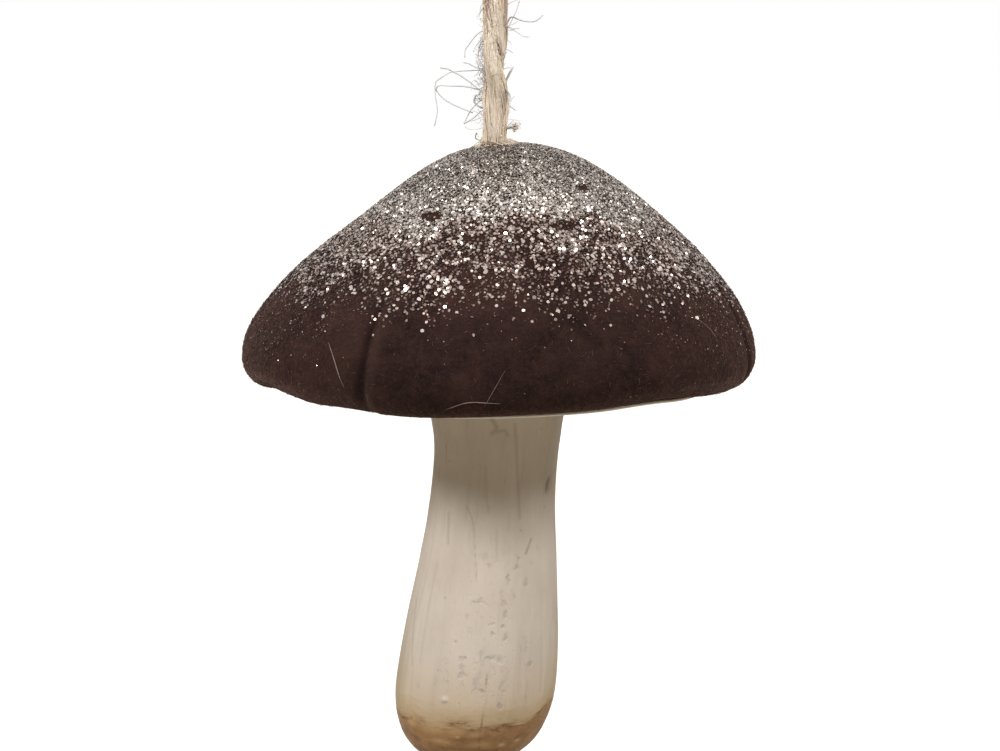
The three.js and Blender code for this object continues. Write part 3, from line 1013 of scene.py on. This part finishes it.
look = Look("aged_paint")
place = look.place()
grain = look.value("grain", "Vector")
broad = look.noise(grain, 260, 3, 0.55)
narrow = look.noise(grain, 900, 4, 0.65)
height = look.value("height")
# How far the surface turns away from the view, for the painted edge shade below.
turned = look.facing()
# Tan of the stain at the foot, laid thicker where the stem turns away from the view: partly stain, partly
# painted edge shade.
tan_stain_and_edge_shade = look.times(look.level(turned, 0.4, 0.85, 0, 0.65), look.level(height, -32, -46))
from_edge = look.value("past_edge")
x, y = (look.times(look.node("ShaderNodeSeparateXYZ", axis, Vector=place), 0.36) for axis in "XY")
brushed = look.node("ShaderNodeCombineXYZ", "Vector", X=x, Y=y, Z=look.times(from_edge, 0.0014))
strokes = look.noise(brushed, 520, 5, 0.7)
past_edge = look.plus(from_edge, look.level(strokes, 0.3, 0.7, -1.2, 1.2))
mottle = look.noise(look.stretched(brushed, (2, 2, 0.8)), 420, 5, 0.75)
gold = look.value("gold")
stain = look.coats(
    (0.21, 0.105, 0.052), (mottle, 0.3, 0.72, 1, (0.42, 0.255, 0.125)), (gold, (0.56, 0.365, 0.19))
)
from_line = look.maths("ABSOLUTE", look.maths("SUBTRACT", past_edge, 0.35))
fine_strokes = look.noise(brushed, 1500, 3, 0.6)
dried = look.times(look.level(from_line, 0, 0.5, 0.95, 0), look.level(fine_strokes, 0.38, 0.58))
dried = look.times(dried, look.level(gold, 0, 0.6, 1, 0.25))
wear = look.value("wear")
chips = look.noise(look.stretched(place, (1, 1, 0.6)), 1500, 2, 0.6)
chipped = look.level(look.plus(wear, look.level(chips, 0.25, 0.75, -0.6, 0.6)), 0.3, 1.0)
paint_colour = look.coats(
    (0.608, 0.530, 0.458),
    (look.noise(place, 120, 3, 0.6), 0.3, 0.7, 1, (0.671, 0.594, 0.520)),
    (broad, 0.45, 0.8, 0.4, (0.52, 0.45, 0.39)),
    (narrow, 0.56, 0.78, 0.4, (0.45, 0.38, 0.32)),
    (height, -42, -53, 0.75, (0.522, 0.392, 0.235)),
    (past_edge, -3.4, -0.4, 0.6, (0.46, 0.32, 0.172)),
    (tan_stain_and_edge_shade, (0.44, 0.34, 0.20)),
    (past_edge, -0.9, 1.0, 1, stain),
    (dried, (0.165, 0.088, 0.038)),
    (look.value("pale"), (0.60, 0.47, 0.33)),
    (wear, 0, 1, 0.48, (0.455, 0.405, 0.375)),
    (look.times(chipped, 0.2), (0.36, 0.31, 0.27)),
    (look.value("marks"), (0.135, 0.095, 0.065)),
    (look.value("bead"), (0.57, 0.515, 0.455)),
    # Painted edge shade: darker where the stem turns away from the view.
    (turned, 0.45, 0.85, 0.21, (0.12, 0.10, 0.07)),
)
look.set(Base_Color=paint_colour, Roughness=look.level(narrow, 0.3, 0.8, 0.42, 0.58), Specular_IOR_Level=0.03)
relief = look.plus(narrow, look.noise(place, 900, 3, 0.7))
look.bump(look.maths("SUBTRACT", relief, look.times(chipped, 2.0)), 0.00008, 0.5)

stem = new_object("painted_stem", stem_rows.reshape(-1, 3) + to_row, stem_faces, look)
point_values(
    stem,
    grain=with_socket(grain_space * MM),
    height=with_socket(stem_z),
    past_edge=with_socket(stain_edge - stem_z, -9),
    **{name: with_socket(values) for name, values in stem_marks.items()},
)
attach(stem, "mushroom")
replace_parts(stem, "stem")

# Lining under the cap: a thin disc of cream card with a soft edge

LINING_COLUMNS = 300
LINING_ROWS = 40
LINING_WAVE = 0.10
lining_angle = ring_angles(LINING_COLUMNS)
lining_r = np.linspace(LINING_HOLE, LINING_RADIUS, LINING_ROWS)
profile = [(r, LINING_TOP) for r in lining_r]
profile += [(LINING_RADIUS + 0.10, LINING_TOP - 0.5 * LINING)]
profile += [(r, LINING_TOP - LINING) for r in lining_r[::-1]]
profile = np.array(profile)
lining_rows = around(lining_angle, profile[:, :1], profile[:, 1:], CAP_X + STEM_OFFSET)
lining_wave = LINING_WAVE * noise_at(lining_rows * (1, 1, 0), 11, 12)
lining_rows[LINING_ROWS + 1:, :, 2] += lining_wave[LINING_ROWS + 1:]
shown = smooth((lining_angle + 0.5) / 0.5) * smooth((1.3 - lining_angle) / 0.4)
lining_drawn = 0.66 * rim_rise(np.degrees(lining_angle)) - LINING_DROOP * shown
lining_rows[..., 2] += lining_drawn[None] * smooth((profile[:, :1] - 20) / 13.5)

look = Look("lining_card")
place = look.place()
fibre = look.noise(look.stretched(place, (0.25, 1, 1)), 900, 4, 0.7)
card_colour = look.coats(
    (0.52, 0.44, 0.34),
    (look.noise(place, 70, 3, 0.6), 0.3, 0.7, 1, (0.62, 0.54, 0.43)),
    (fibre, 0.5, 0.8, 0.5, (0.40, 0.33, 0.25)),
    # The cut edge is coloured near white: partly the paler cut of the card, partly painted light on an edge
    # that lies in shade under the rim.
    (look.value("cut"), (0.93, 0.88, 0.81)),
)
look.set(Base_Color=card_colour, Roughness=0.8, Specular_IOR_Level=0.25)
look.bump(fibre, 0.0001, 0.5)

lining_faces = grid_faces(len(lining_rows), LINING_COLUMNS, wrap_rows=True)
lining = new_object("underside_lining", lining_rows.reshape(-1, 3) + to_row, lining_faces, look)
point_values(lining, cut=np.repeat(profile[:, 0] >= LINING_RADIUS, LINING_COLUMNS))
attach(lining, "mushroom")
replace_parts(lining, "cap_lining")

# Twine: three plies of loose fibres laid round the loop's route

route = [(x * LEG_X, y * LEG_X, LOOP_FOOT + z * (LOOP_CROWN - LOOP_FOOT)) for x, y, z in TWINE_ROUTE]
IN_BORE = 1.8
start = [(-LEG_X, 0, LOOP_FOOT - IN_BORE), (-LEG_X, 0, LOOP_FOOT - IN_BORE / 2)]
half_route = start + route
other_half = [(-x, -y, z) for x, y, z in reversed(half_route)]
twine_line = curve_through(half_route + [(0, 0, LOOP_CROWN)] + other_half)
TWINE_STEPS = 190
twine_line = spaced(twine_line, TWINE_STEPS)

PLIES = 3
PLY_FIBRES = 32
PLY_PITCH = 60.0
PLY_RADIUS = 0.60
PLY_OFFSET = 0.35
FIBRE_PITCH = 46.0
FIBRE = 0.095
FIBRE_SIDES = 5
OPENED = 0.2  # the plies open up by this share where the legs cross
OPENED_Z = -35.0
OPENED_OVER = 4.5
TO_FRONT = np.array([[0.0, -1.0, 0.0]])


def slow(draw, run, spread, every):
    """Values that change slowly along a run of lengths, about every so many millimetres."""
    count = max(4, int(run[-1] / every))
    return np.interp(run, np.linspace(0, run[-1], count), draw.normal(0, spread, count))


def plied(line, fibres, draw, scale):
    """Fibre tubes of a loosely laid twine along a line, with a tone and a hue for each."""
    normals, across = (directions[0] for directions in frames(line[None], TO_FRONT)[1:])
    run = run_along(line)
    scale = np.broadcast_to(scale, run.shape)
    lines = []
    radii = []
    looks = []
    for ply in range(PLIES):
        turn = -2 * np.pi * run / PLY_PITCH + ply * 2 * np.pi / PLIES + slow(draw, run, 0.25, 7)
        centre = line + (scale * PLY_OFFSET)[:, None] * turned_to(normals, across, turn)
        girth = scale * PLY_RADIUS * (1 + slow(draw, run, 0.06, 5))
        ply_hue = draw.random()
        lines.append(centre)
        radii.append(0.86 * girth)
        looks.append((0.5, ply_hue))
        for k in range(fibres):
            wander = slow(draw, run, 0.5, 7)
            turn = 2 * np.pi * (k + draw.random()) / fibres - 2 * np.pi * run / FIBRE_PITCH + wander
            away = girth * (0.84 + 0.14 * draw.random()) + scale * slow(draw, run, 0.04, 3)
            lines.append(centre + turned_to(normals, across, turn) * away[:, None])
            thick = scale * FIBRE * np.exp(draw.normal(0, 0.3))
            radii.append(thick * np.exp(slow(draw, run, 0.2, 3)))
            hue = np.clip(ply_hue + draw.normal(0, 0.2), 0, 1)
            looks.append((np.clip(draw.normal(0.6, 0.2), 0, 1), hue))
    return np.array(lines), np.array(radii), np.array(looks)


jute = Look("jute_fibre")
flecks = jute.noise(jute.stretched(jute.place(), (1, 1, 0.2)), 900, 3, 0.65)
JUTE_TONES = [(0.0, (0.62, 0.50, 0.39)), (0.5, (0.85, 0.725, 0.595)), (1.0, (0.95, 0.87, 0.765))]
shade = jute.ramp(jute.value("tone"), *JUTE_TONES)
tint = jute.mix(jute.value("hue"), (1.0, 0.94, 0.93), (0.98, 0.98, 0.86))
tinted = jute.mix(1.0, shade, tint, "MULTIPLY")
jute.set(Base_Color=jute.coats(tinted, (flecks, 0.55, 0.85, 0.4, (0.64, 0.53, 0.40))))
jute.set(Roughness=0.75, Specular_IOR_Level=0.2, Sheen_Weight=0.08, Sheen_Roughness=0.5)


def twine_piece(name, line, fibres, draw, scale):
    """A stretch of twine along a line, as one object."""
    lines, radii, looks = plied(line, fibres, draw, scale)
    points, faces = tubes(lines, radii, FIBRE_SIDES)
    made = new_object(name, points, faces, jute)
    tones, hues = np.repeat(looks.T, len(line) * FIBRE_SIDES, axis=1)
    point_values(made, tone=tones, hue=hues)
    return made


opened = 1 + OPENED * np.exp(-((twine_line[:, 2] - OPENED_Z) / OPENED_OVER) ** 2)
twine = twine_piece("jute_twine", twine_line, PLY_FIBRES, np.random.default_rng(37), opened)
twine_tree = ray_tree(
    [v.co / MM for v in twine.data.vertices], [list(face.vertices) for face in twine.data.polygons]
)

# Loose fibres, by pixel along each, and more all round

HAIRS = [
    [
        (483, 70), (463, 71), (451, 72), (442, 77.5), (435.5, 82), (435, 88), (435.5, 97), (437.5, 111),
        (434.5, 126),
    ],
    [
        (480, 90), (465, 86.5), (451, 86), (439.5, 85.5), (435.5, 88.5), (440.5, 96), (450, 103), (461, 108),
        (473, 113),
    ],
    [(440.5, 68), (446.5, 68.5), (454, 72), (462, 76.5), (469, 81.5), (480, 90)],
    [(486, 29), (477, 34.5), (470, 43), (465, 51), (465, 58)],
    [(483, 98), (471, 110), (464, 123.5)],
    [(464, 123.5), (472, 119), (481, 111)],
    [(465, 127), (470, 129.5), (477, 129.5), (484, 127)],
    [(476.5, 132.5), (475.5, 138), (480, 140), (484, 136)],
    [(463, 62.5), (468, 63.5), (476, 67.5), (484, 69)],
    [(484, 36), (476, 46), (473, 52)],
    [(483, 38), (479, 48), (478, 56)],
    [(484, 0), (481, 6), (480, 12)],
    [(507, 24), (511, 17), (520, 20), (528, 21.5), (535.5, 21), (543, 15)],
    [(519.5, 0), (517, 9), (513, 18), (507, 30)],
    [(506, 26), (516, 31.5), (524, 36.5), (530, 37)],
    [(505, 49), (510, 51), (513, 53)],
    [(503, 88), (509, 75), (513, 67), (510, 72), (506, 80)],
    [(505, 88), (510, 96), (508, 104)],
    [(505, 104), (511, 107), (515.5, 110.5)],
    [(476, 60), (478, 64), (480, 70), (484, 74)],
    [(474, 80), (478, 83), (484, 85)],
    [(476, 95), (474, 101), (478, 106), (484, 108)],
]
# Loose fibres that cross the front of the twine
ACROSS = [
    [(490, 105), (494, 103), (500, 100), (506.5, 96)],
    [(488, 127), (495, 125.5), (501, 126), (506, 125.5)],
    [(489, 125), (494, 127), (497, 130)],
    [(492, 136), (498, 135), (503, 136.5)],
    [(488, 76), (492, 84), (493, 92)],
    [(494, 12), (498, 22), (501, 34)],
    [(487, 17), (490, 26), (492, 33)],
]
ACROSS_DEPTH = -2.5
TUFT = (515, 127)
TUFT_STALK = (506, 129)
HAIR = 0.112  # radius of the long loose fibres
SHORT_HAIR = 0.05
FINE_HAIR = 0.04
HAIR_STEPS = 18
HAIR_SIDES = 4
RANDOM_HAIRS = 320
TUFT_HAIRS = 80
BASE_HAIRS = 170
SIDE_FUZZ = 260
SIDE_FUZZ_ROW = 72  # middle pixel row
SIDE_FUZZ_SPREAD = 26
# Strands that lie over the legs and close the groove between them, by pixel: points, half width, fibres and
# the range of their tones
# The strands with tones from 0 to about 0.1 lay dark fibres where the twine lies in shade, in the slit
# between the legs and on their shaded sides: painted shade.
STRANDS = [
    ([(496, -6), (497, 8), (498.5, 20), (500.5, 32), (502.5, 44), (504, 58)], 2.6, 36, 0.75, 1.0),
    ([(490, 4), (492.5, 14), (494.7, 24), (497, 35), (498.7, 46)], 1.9, 30, 0.62, 0.95),
    ([(485.5, -6), (487, 8), (488.5, 18), (490, 28)], 3.0, 18, 0.0, 0.1),
    ([(505.5, -6), (506, 8), (506, 18), (505.5, 28)], 1.6, 10, 0.0, 0.08),
    ([(498.5, 44), (500.5, 50), (502, 58)], 1.8, 9, 0.0, 0.08),
    ([(486.5, 6), (488.5, 18), (491, 30), (494, 42)], 1.8, 14, 0.8, 1.0),
    (
        [(489, 26), (490.5, 38), (491, 52), (492, 66), (494, 86), (495.5, 104), (495.5, 124), (495, 145)],
        5.5, 96, 0.6, 1.0,
    ),
    ([(503, 82), (505, 95), (506, 106), (505, 117), (504, 128)], 3.0, 30, 0.55, 0.85),
    ([(486.5, 84), (486.5, 100), (487, 118), (488, 144)], 2.6, 26, 0.75, 1.0),
    ([(491.5, 100), (492, 114), (492, 130), (492, 147)], 5.0, 22, 0.6, 0.8),
    ([(500, 104), (500, 120), (499.5, 134), (499, 147)], 4.5, 20, 0.6, 0.8),
    ([(503, 86), (505, 96), (506, 106), (505, 116)], 3.2, 10, 0.0, 0.1),
]
STRAND_DEPTH = -0.85
BRIDGE_FIBRES = 60  # the same at the back
LAID_FIBRES = 140
LAID_TOP = -22.5
LAID_FROM = 8


def curl(draw, base, heading, length, bend):
    """Points of a fibre that starts along a heading and curls by about bend radians."""
    spots = [np.asarray(base, float)]
    turn = draw.normal(0, bend, 3)
    steps = 9
    for _ in range(steps):
        heading = unit(heading + np.cross(turn, heading) / steps + draw.normal(0, 0.10, 3))
        spots.append(spots[-1] + heading * length / steps)
    return spots


def surface_height(x, y):
    """Height of the velvet under a point."""
    hit = cap_tree.ray_cast(Vector((x, y, 10)), Vector((0, 0, -1)))[0]
    return hit.z if hit else RIM_FOOT_Z


def twine_side(x, z, facing):
    """The twine's surface at x and z, met from the front for 1 and from the back for -1, or None."""
    return twine_tree.ray_cast(Vector((x, -facing * LAID_FROM, z)), Vector((0, facing, 0)))[0]


hairs = []


def lay(points, tone, size):
    """Adds a loose fibre through the points."""
    hairs.append((spaced(curve_through(points, 6), HAIR_STEPS), tone, size))


draw = np.random.default_rng(41)
for line in HAIRS:
    depth = draw.uniform(-1.2, 0.6)
    spots = [np.array(pixel_at_depth(x, y, depth + draw.normal(0, 0.25))) for x, y in line]
    lay(spots, 0.3, HAIR)
for line in ACROSS:
    spots = []
    for x, y in spaced(line, 6):
        hit = seen_on(twine_tree, x, y) or pixel_at_depth(x, y, ACROSS_DEPTH)
        spots.append(np.array(hit + to_camera * 0.08))
    lay(spots, 1.0, HAIR)
for k in range(LAID_FIBRES):
    facing = 1 if k % 2 else -1
    length = draw.uniform(4, 12)
    low = draw.uniform(LOOP_FOOT + 0.5, LAID_TOP - length)
    x = draw.uniform(-1.6, 1.6)
    lean = draw.normal(0, 0.07)
    spots = []
    for up in np.linspace(0, length, 8):
        hit = twine_side(x + lean * up, low + up, facing)
        if hit:
            spots.append(np.array(hit) - (0, 0.04 * facing, 0))
    if len(spots) > 4:
        lay(spots, draw.uniform(0.75, 1.0), SHORT_HAIR)
for line, wide, fibres, low, high in STRANDS:
    path = spaced(curve_through(line, 6), 20)
    for _ in range(fibres):
        first = int(draw.integers(0, 8))
        last = int(draw.integers(14, 24))
        aside = draw.uniform(-1, 1)
        drift = draw.normal(0, 0.25)
        spots = []
        for k, (x, y) in enumerate(path[first:last:2]):
            x = x + wide * (aside + drift * (k / 5 - 1))
            hit = seen_on(twine_tree, x, y)
            depth = min(hit.y, STRAND_DEPTH) if hit else STRAND_DEPTH
            spots.append(np.array(pixel_at_depth(x, y, depth - draw.uniform(0.03, 0.12))))
        lay(spots, draw.uniform(low, high), SHORT_HAIR)
for _ in range(BRIDGE_FIBRES):
    low = draw.uniform(LOOP_FOOT + 0.3, LOOP_FOOT + 9)
    x = draw.normal(0, 0.45)
    spots = []
    for up in np.linspace(0, draw.uniform(3, 8), 6):
        x = x + draw.normal(0, 0.05)
        hit = twine_side(x, low + up, -1)
        spots.append(np.array((x, max(hit.y if hit else 0, -STRAND_DEPTH) + 0.05, low + up)))
    lay(spots, draw.uniform(0.6, 1.0), SHORT_HAIR)
along, normals, across = (directions[0] for directions in frames(twine_line[None], TO_FRONT))
for _ in range(RANDOM_HAIRS):
    k = int(draw.integers(6, TWINE_STEPS - 6))
    turn = draw.uniform(0, 2 * np.pi)
    out = turned_to(normals[k], across[k], turn)
    heading = unit(out + along[k] * draw.normal(0, 0.9))
    length = min(0.6 + draw.exponential(0.9), 4.5)
    lay(curl(draw, twine_line[k] + out * 0.9, heading, length, 1.1), draw.uniform(0.3, 0.7), SHORT_HAIR)
for _ in range(SIDE_FUZZ):
    y = min(draw.normal(SIDE_FUZZ_ROW, SIDE_FUZZ_SPREAD), 138)
    base = pixel_at_depth(draw.normal(484.4, 2.3), y, draw.uniform(-0.6, 1.2))
    heading = unit(np.array([draw.normal(-0.4, 0.4), draw.normal(0, 0.5), draw.choice((-1, 1))]))
    lay(curl(draw, base, heading, draw.uniform(0.8, 2.2), 1.4), draw.uniform(0.40, 0.52), FINE_HAIR)
middle = np.array(pixel_at_depth(*TUFT, -0.3))
stalk = np.array(pixel_at_depth(*TUFT_STALK, -0.3))
for k in range(TUFT_HAIRS):
    spot = middle + draw.normal(0, 0.26, 3)
    heading = unit(draw.normal(size=3))
    spots = curl(draw, spot, heading, draw.uniform(0.4, 1.0), 2.2)
    if k % 8 == 0:
        spots = [stalk, (stalk + spot) / 2 + draw.normal(0, 0.12, 3), spot]
    lay(spots, draw.choice((0.1, 0.45, 0.6)) * draw.uniform(0.8, 1.1), SHORT_HAIR)
for k in range(BASE_HAIRS):
    turn = draw.uniform(0, 2 * np.pi)
    reach = draw.uniform(2.2, 3.6)
    side = draw.choice((-1, 1))
    if k % 3 == 0:
        side = 1
        turn = draw.uniform(0.15, 0.75) * np.pi
    path = []
    for t in np.linspace(0, 1, 6):
        x = side * LEG_X + (0.9 + (reach - 1.4) * t) * math.sin(turn + 0.5 * t)
        y = -(0.9 + (reach - 1.6) * t) * math.cos(turn + 0.5 * t)
        path.append((x, y, surface_height(x, y) + 0.2 + 1.7 * (1 - t) ** 3))
    lay(path, draw.uniform(0.5, 1.0), SHORT_HAIR)
hair_lines, hair_tones, hair_sizes = (np.array(part) for part in zip(*hairs))
hair_radii = np.linspace(1, 0.75, HAIR_STEPS)[None] * hair_sizes[:, None]
hair_radii = hair_radii * np.exp(draw.normal(0, 0.22, (len(hairs), 1)))
points, faces = tubes(hair_lines, hair_radii, HAIR_SIDES)
FUZZ_TONES = [
    (0.0, (0.50, 0.36, 0.29)), (0.3, (0.72, 0.722, 0.735)), (0.45, (0.80, 0.75, 0.75)),
    (0.6, (0.80, 0.675, 0.545)), (1.0, (0.93, 0.845, 0.735)),
]
fuzz_fleck = (0.5, 0.8, 0.3, (0.52, 0.47, 0.43))
look = fibre_look("jute_fuzz", FUZZ_TONES, 1500, fuzz_fleck, Roughness=0.7, Specular_IOR_Level=0.3)
fuzz = new_object("jute_fuzz", points, faces, look)
point_values(fuzz, tone=np.repeat(hair_tones, HAIR_STEPS * HAIR_SIDES))

for piece in (twine, fuzz):
    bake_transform(piece)
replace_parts(twine, "twine_loop")

# The twine's tails in the bore and its knot

IN_CAP = 0.85  # the twine is pressed together by this much in the cap
draw = np.random.default_rng(43)
for name, node, side in (("tail_left", "twine_tail_left", -1), ("tail_right", "twine_tail_right", 1)):
    foot = (side * LEG_X, 0, TAIL_FOOT)
    tail_line = spaced([foot, (side * LEG_X, 0, LOOP_FOOT - IN_BORE - 0.2)], 40)
    tail = twine_piece(name, tail_line, 16, draw, IN_CAP)
    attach(tail, "mushroom")
    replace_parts(tail, node)

KNOT = 2.6
KNOT_Z = -72.0
turn = np.linspace(0, 4 * np.pi, 161)
knot_r = KNOT * (2 + np.cos(1.5 * turn)) * 0.5
knot_z = KNOT_Z + KNOT * 0.5 * np.sin(1.5 * turn)
knot_line = np.stack([knot_r * np.cos(turn), knot_r * np.sin(turn), knot_z], 1)
knot = twine_piece("overhand_knot", knot_line, 12, draw, IN_CAP)
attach(knot, "mushroom")
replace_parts(knot, "twine_knot")

# Lint on the velvet, by pixel along each fibre

LINT = [
    [(329, 343), (335, 361.5), (340, 378), (344.5, 387.5)],
    [(693, 318), (700, 321), (705, 325), (711, 331), (716, 338)],
    [(446, 409), (458, 405), (468, 402), (482, 402.5), (500, 403.5)],
    [(484, 407), (494, 390), (505, 371)],
    [(711, 386), (714, 383)],
]
LINT_WIDTH = [0.075, 0.065, 0.075, 0.036, 0.05]
lint_lines = []
for line in LINT:
    spots = []
    for x, y in spaced(line, 7):
        ray = pixel_ray(x, y)
        spot, normal = cap_tree.ray_cast(camera_spot, ray)[:2]
        outward = normal if normal.dot(ray) < 0 else -normal
        spots.append(np.array(spot + outward * 0.10))
    lint_lines.append(spaced(curve_through(spots, 8), HAIR_STEPS))
lint_lines = np.array(lint_lines)
lint_radii = np.array(LINT_WIDTH)[:, None] * np.sin(np.linspace(0.35, np.pi - 0.35, HAIR_STEPS))[None]
points, faces = tubes(lint_lines, lint_radii, FIBRE_SIDES)
LINT_TONES = ((0.16, 0.12, 0.11), (0.27, 0.21, 0.19))
look = two_tone("lint_fibre", (700, 2, 0.6), (0.35, 0.7), *LINT_TONES, Roughness=0.75)
lint = new_object("lint", points, faces, look)
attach(lint, "mushroom")

# CAD pieces that keep their shape get their own materials

foam = Look("foam_beads")
cells = foam.node("ShaderNodeTexVoronoi", "Distance", Vector=foam.place(), Scale=420.0)
edges = foam.level(cells, 0.1, 0.8)
foam.set(Base_Color=foam.mix(edges, (0.86, 0.85, 0.80), (0.70, 0.69, 0.64)), Roughness=0.8)
foam.bump(edges, 0.0004, -0.6)
GLUE_TONES = ((0.74, 0.66, 0.50), (0.84, 0.78, 0.64))
glue = two_tone("set_glue", (300, 3, 0.6), (0.3, 0.7), *GLUE_TONES, 0.0003, Roughness=0.35)
BAMBOO_TONES = ((0.62, 0.44, 0.21), (0.46, 0.29, 0.12))
bamboo = two_tone("bamboo", (1400, 4, 0.6), (0.35, 0.7), *BAMBOO_TONES, 0.0001, (1, 1, 0.04), Roughness=0.6)
for node, look in (("cap_core", foam), ("glue_plug", glue), ("stem_dowel", bamboo)):
    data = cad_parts[node].data
    data.materials.clear()
    data.materials.append(look.made)

# Stage: a pale floor under the hanging ornament, a white surround, soft boxes left and right, a lamp overhead

FLOOR_Z = -1100
FLOOR_SIZE = 12000
FLOOR_GLOW = 0.75
LEFT_LEVEL = 0.75
RIGHT_LEVEL = 0.585
BOX_SPREAD = 17
BOX_ELEVATION = 36.2
BOX_DISTANCE = 1500
LEFT_AZIMUTH = -50
RIGHT_AZIMUTH = 60
TOP_LEVEL = 0.15
TOP_DISTANCE = 900
TOP_ELEVATION = 78
TOP_SIZE = 320
FILL_LEVEL = 0.15

FLOOR_TONES = ((0.467, 0.436, 0.369), (0.507, 0.476, 0.404))
look = two_tone("pale_floor", (3.0, 2, 0.5), (0.3, 0.7), *FLOOR_TONES, Roughness=0.9, Specular_IOR_Level=0.0)
look.set(Emission_Color=(1.0, 1.0, 1.0), Emission_Strength=look.times(look.seen(), FLOOR_GLOW))
corners = [(x * FLOOR_SIZE, y * FLOOR_SIZE, FLOOR_Z) for x, y in ((-1, -1), (1, -1), (1, 1), (-1, 1))]
floor = new_object("floor", corners, [[0, 1, 2, 3]], look)

surround = Look("surround", bpy.data.worlds, "Background")
scene.world = surround.made
seen = surround.seen()
surround.set(
    Color=surround.mix(seen, (1.0, 0.82, 0.55), (1.0, 1.0, 1.0)),
    Strength=surround.level(seen, 0, 1, FILL_LEVEL, 1.0),
)


def lamp(name, kind, energy, azimuth, elevation, distance):
    """A lamp that is aimed where the camera looks. Returns its data."""
    data = bpy.data.lights.new(name, kind)
    data.energy = energy
    a = math.radians(azimuth)
    e = math.radians(elevation)
    out = Vector((math.sin(a) * math.cos(e), -math.cos(a) * math.cos(e), math.sin(e)))
    made = bpy.data.objects.new(name, data)
    made.location = (Vector(CAMERA_AIM) + out * distance) * MM
    made.rotation_euler = out.to_track_quat("Z", "Y").to_euler()
    scene.collection.objects.link(made)
    return data


for name, share, azimuth in (("left", LEFT_LEVEL, LEFT_AZIMUTH), ("right", RIGHT_LEVEL, RIGHT_AZIMUTH)):
    box = lamp(name, "SUN", share * math.pi, azimuth, BOX_ELEVATION, BOX_DISTANCE)
    box.angle = math.radians(BOX_SPREAD)
top_energy = TOP_LEVEL * math.pi * math.pi * (TOP_DISTANCE * MM) ** 2
top = lamp("top", "AREA", top_energy, 0, TOP_ELEVATION, TOP_DISTANCE)
top.shape = "DISK"
top.size = TOP_SIZE * MM

scene.view_settings.view_transform = "Standard"
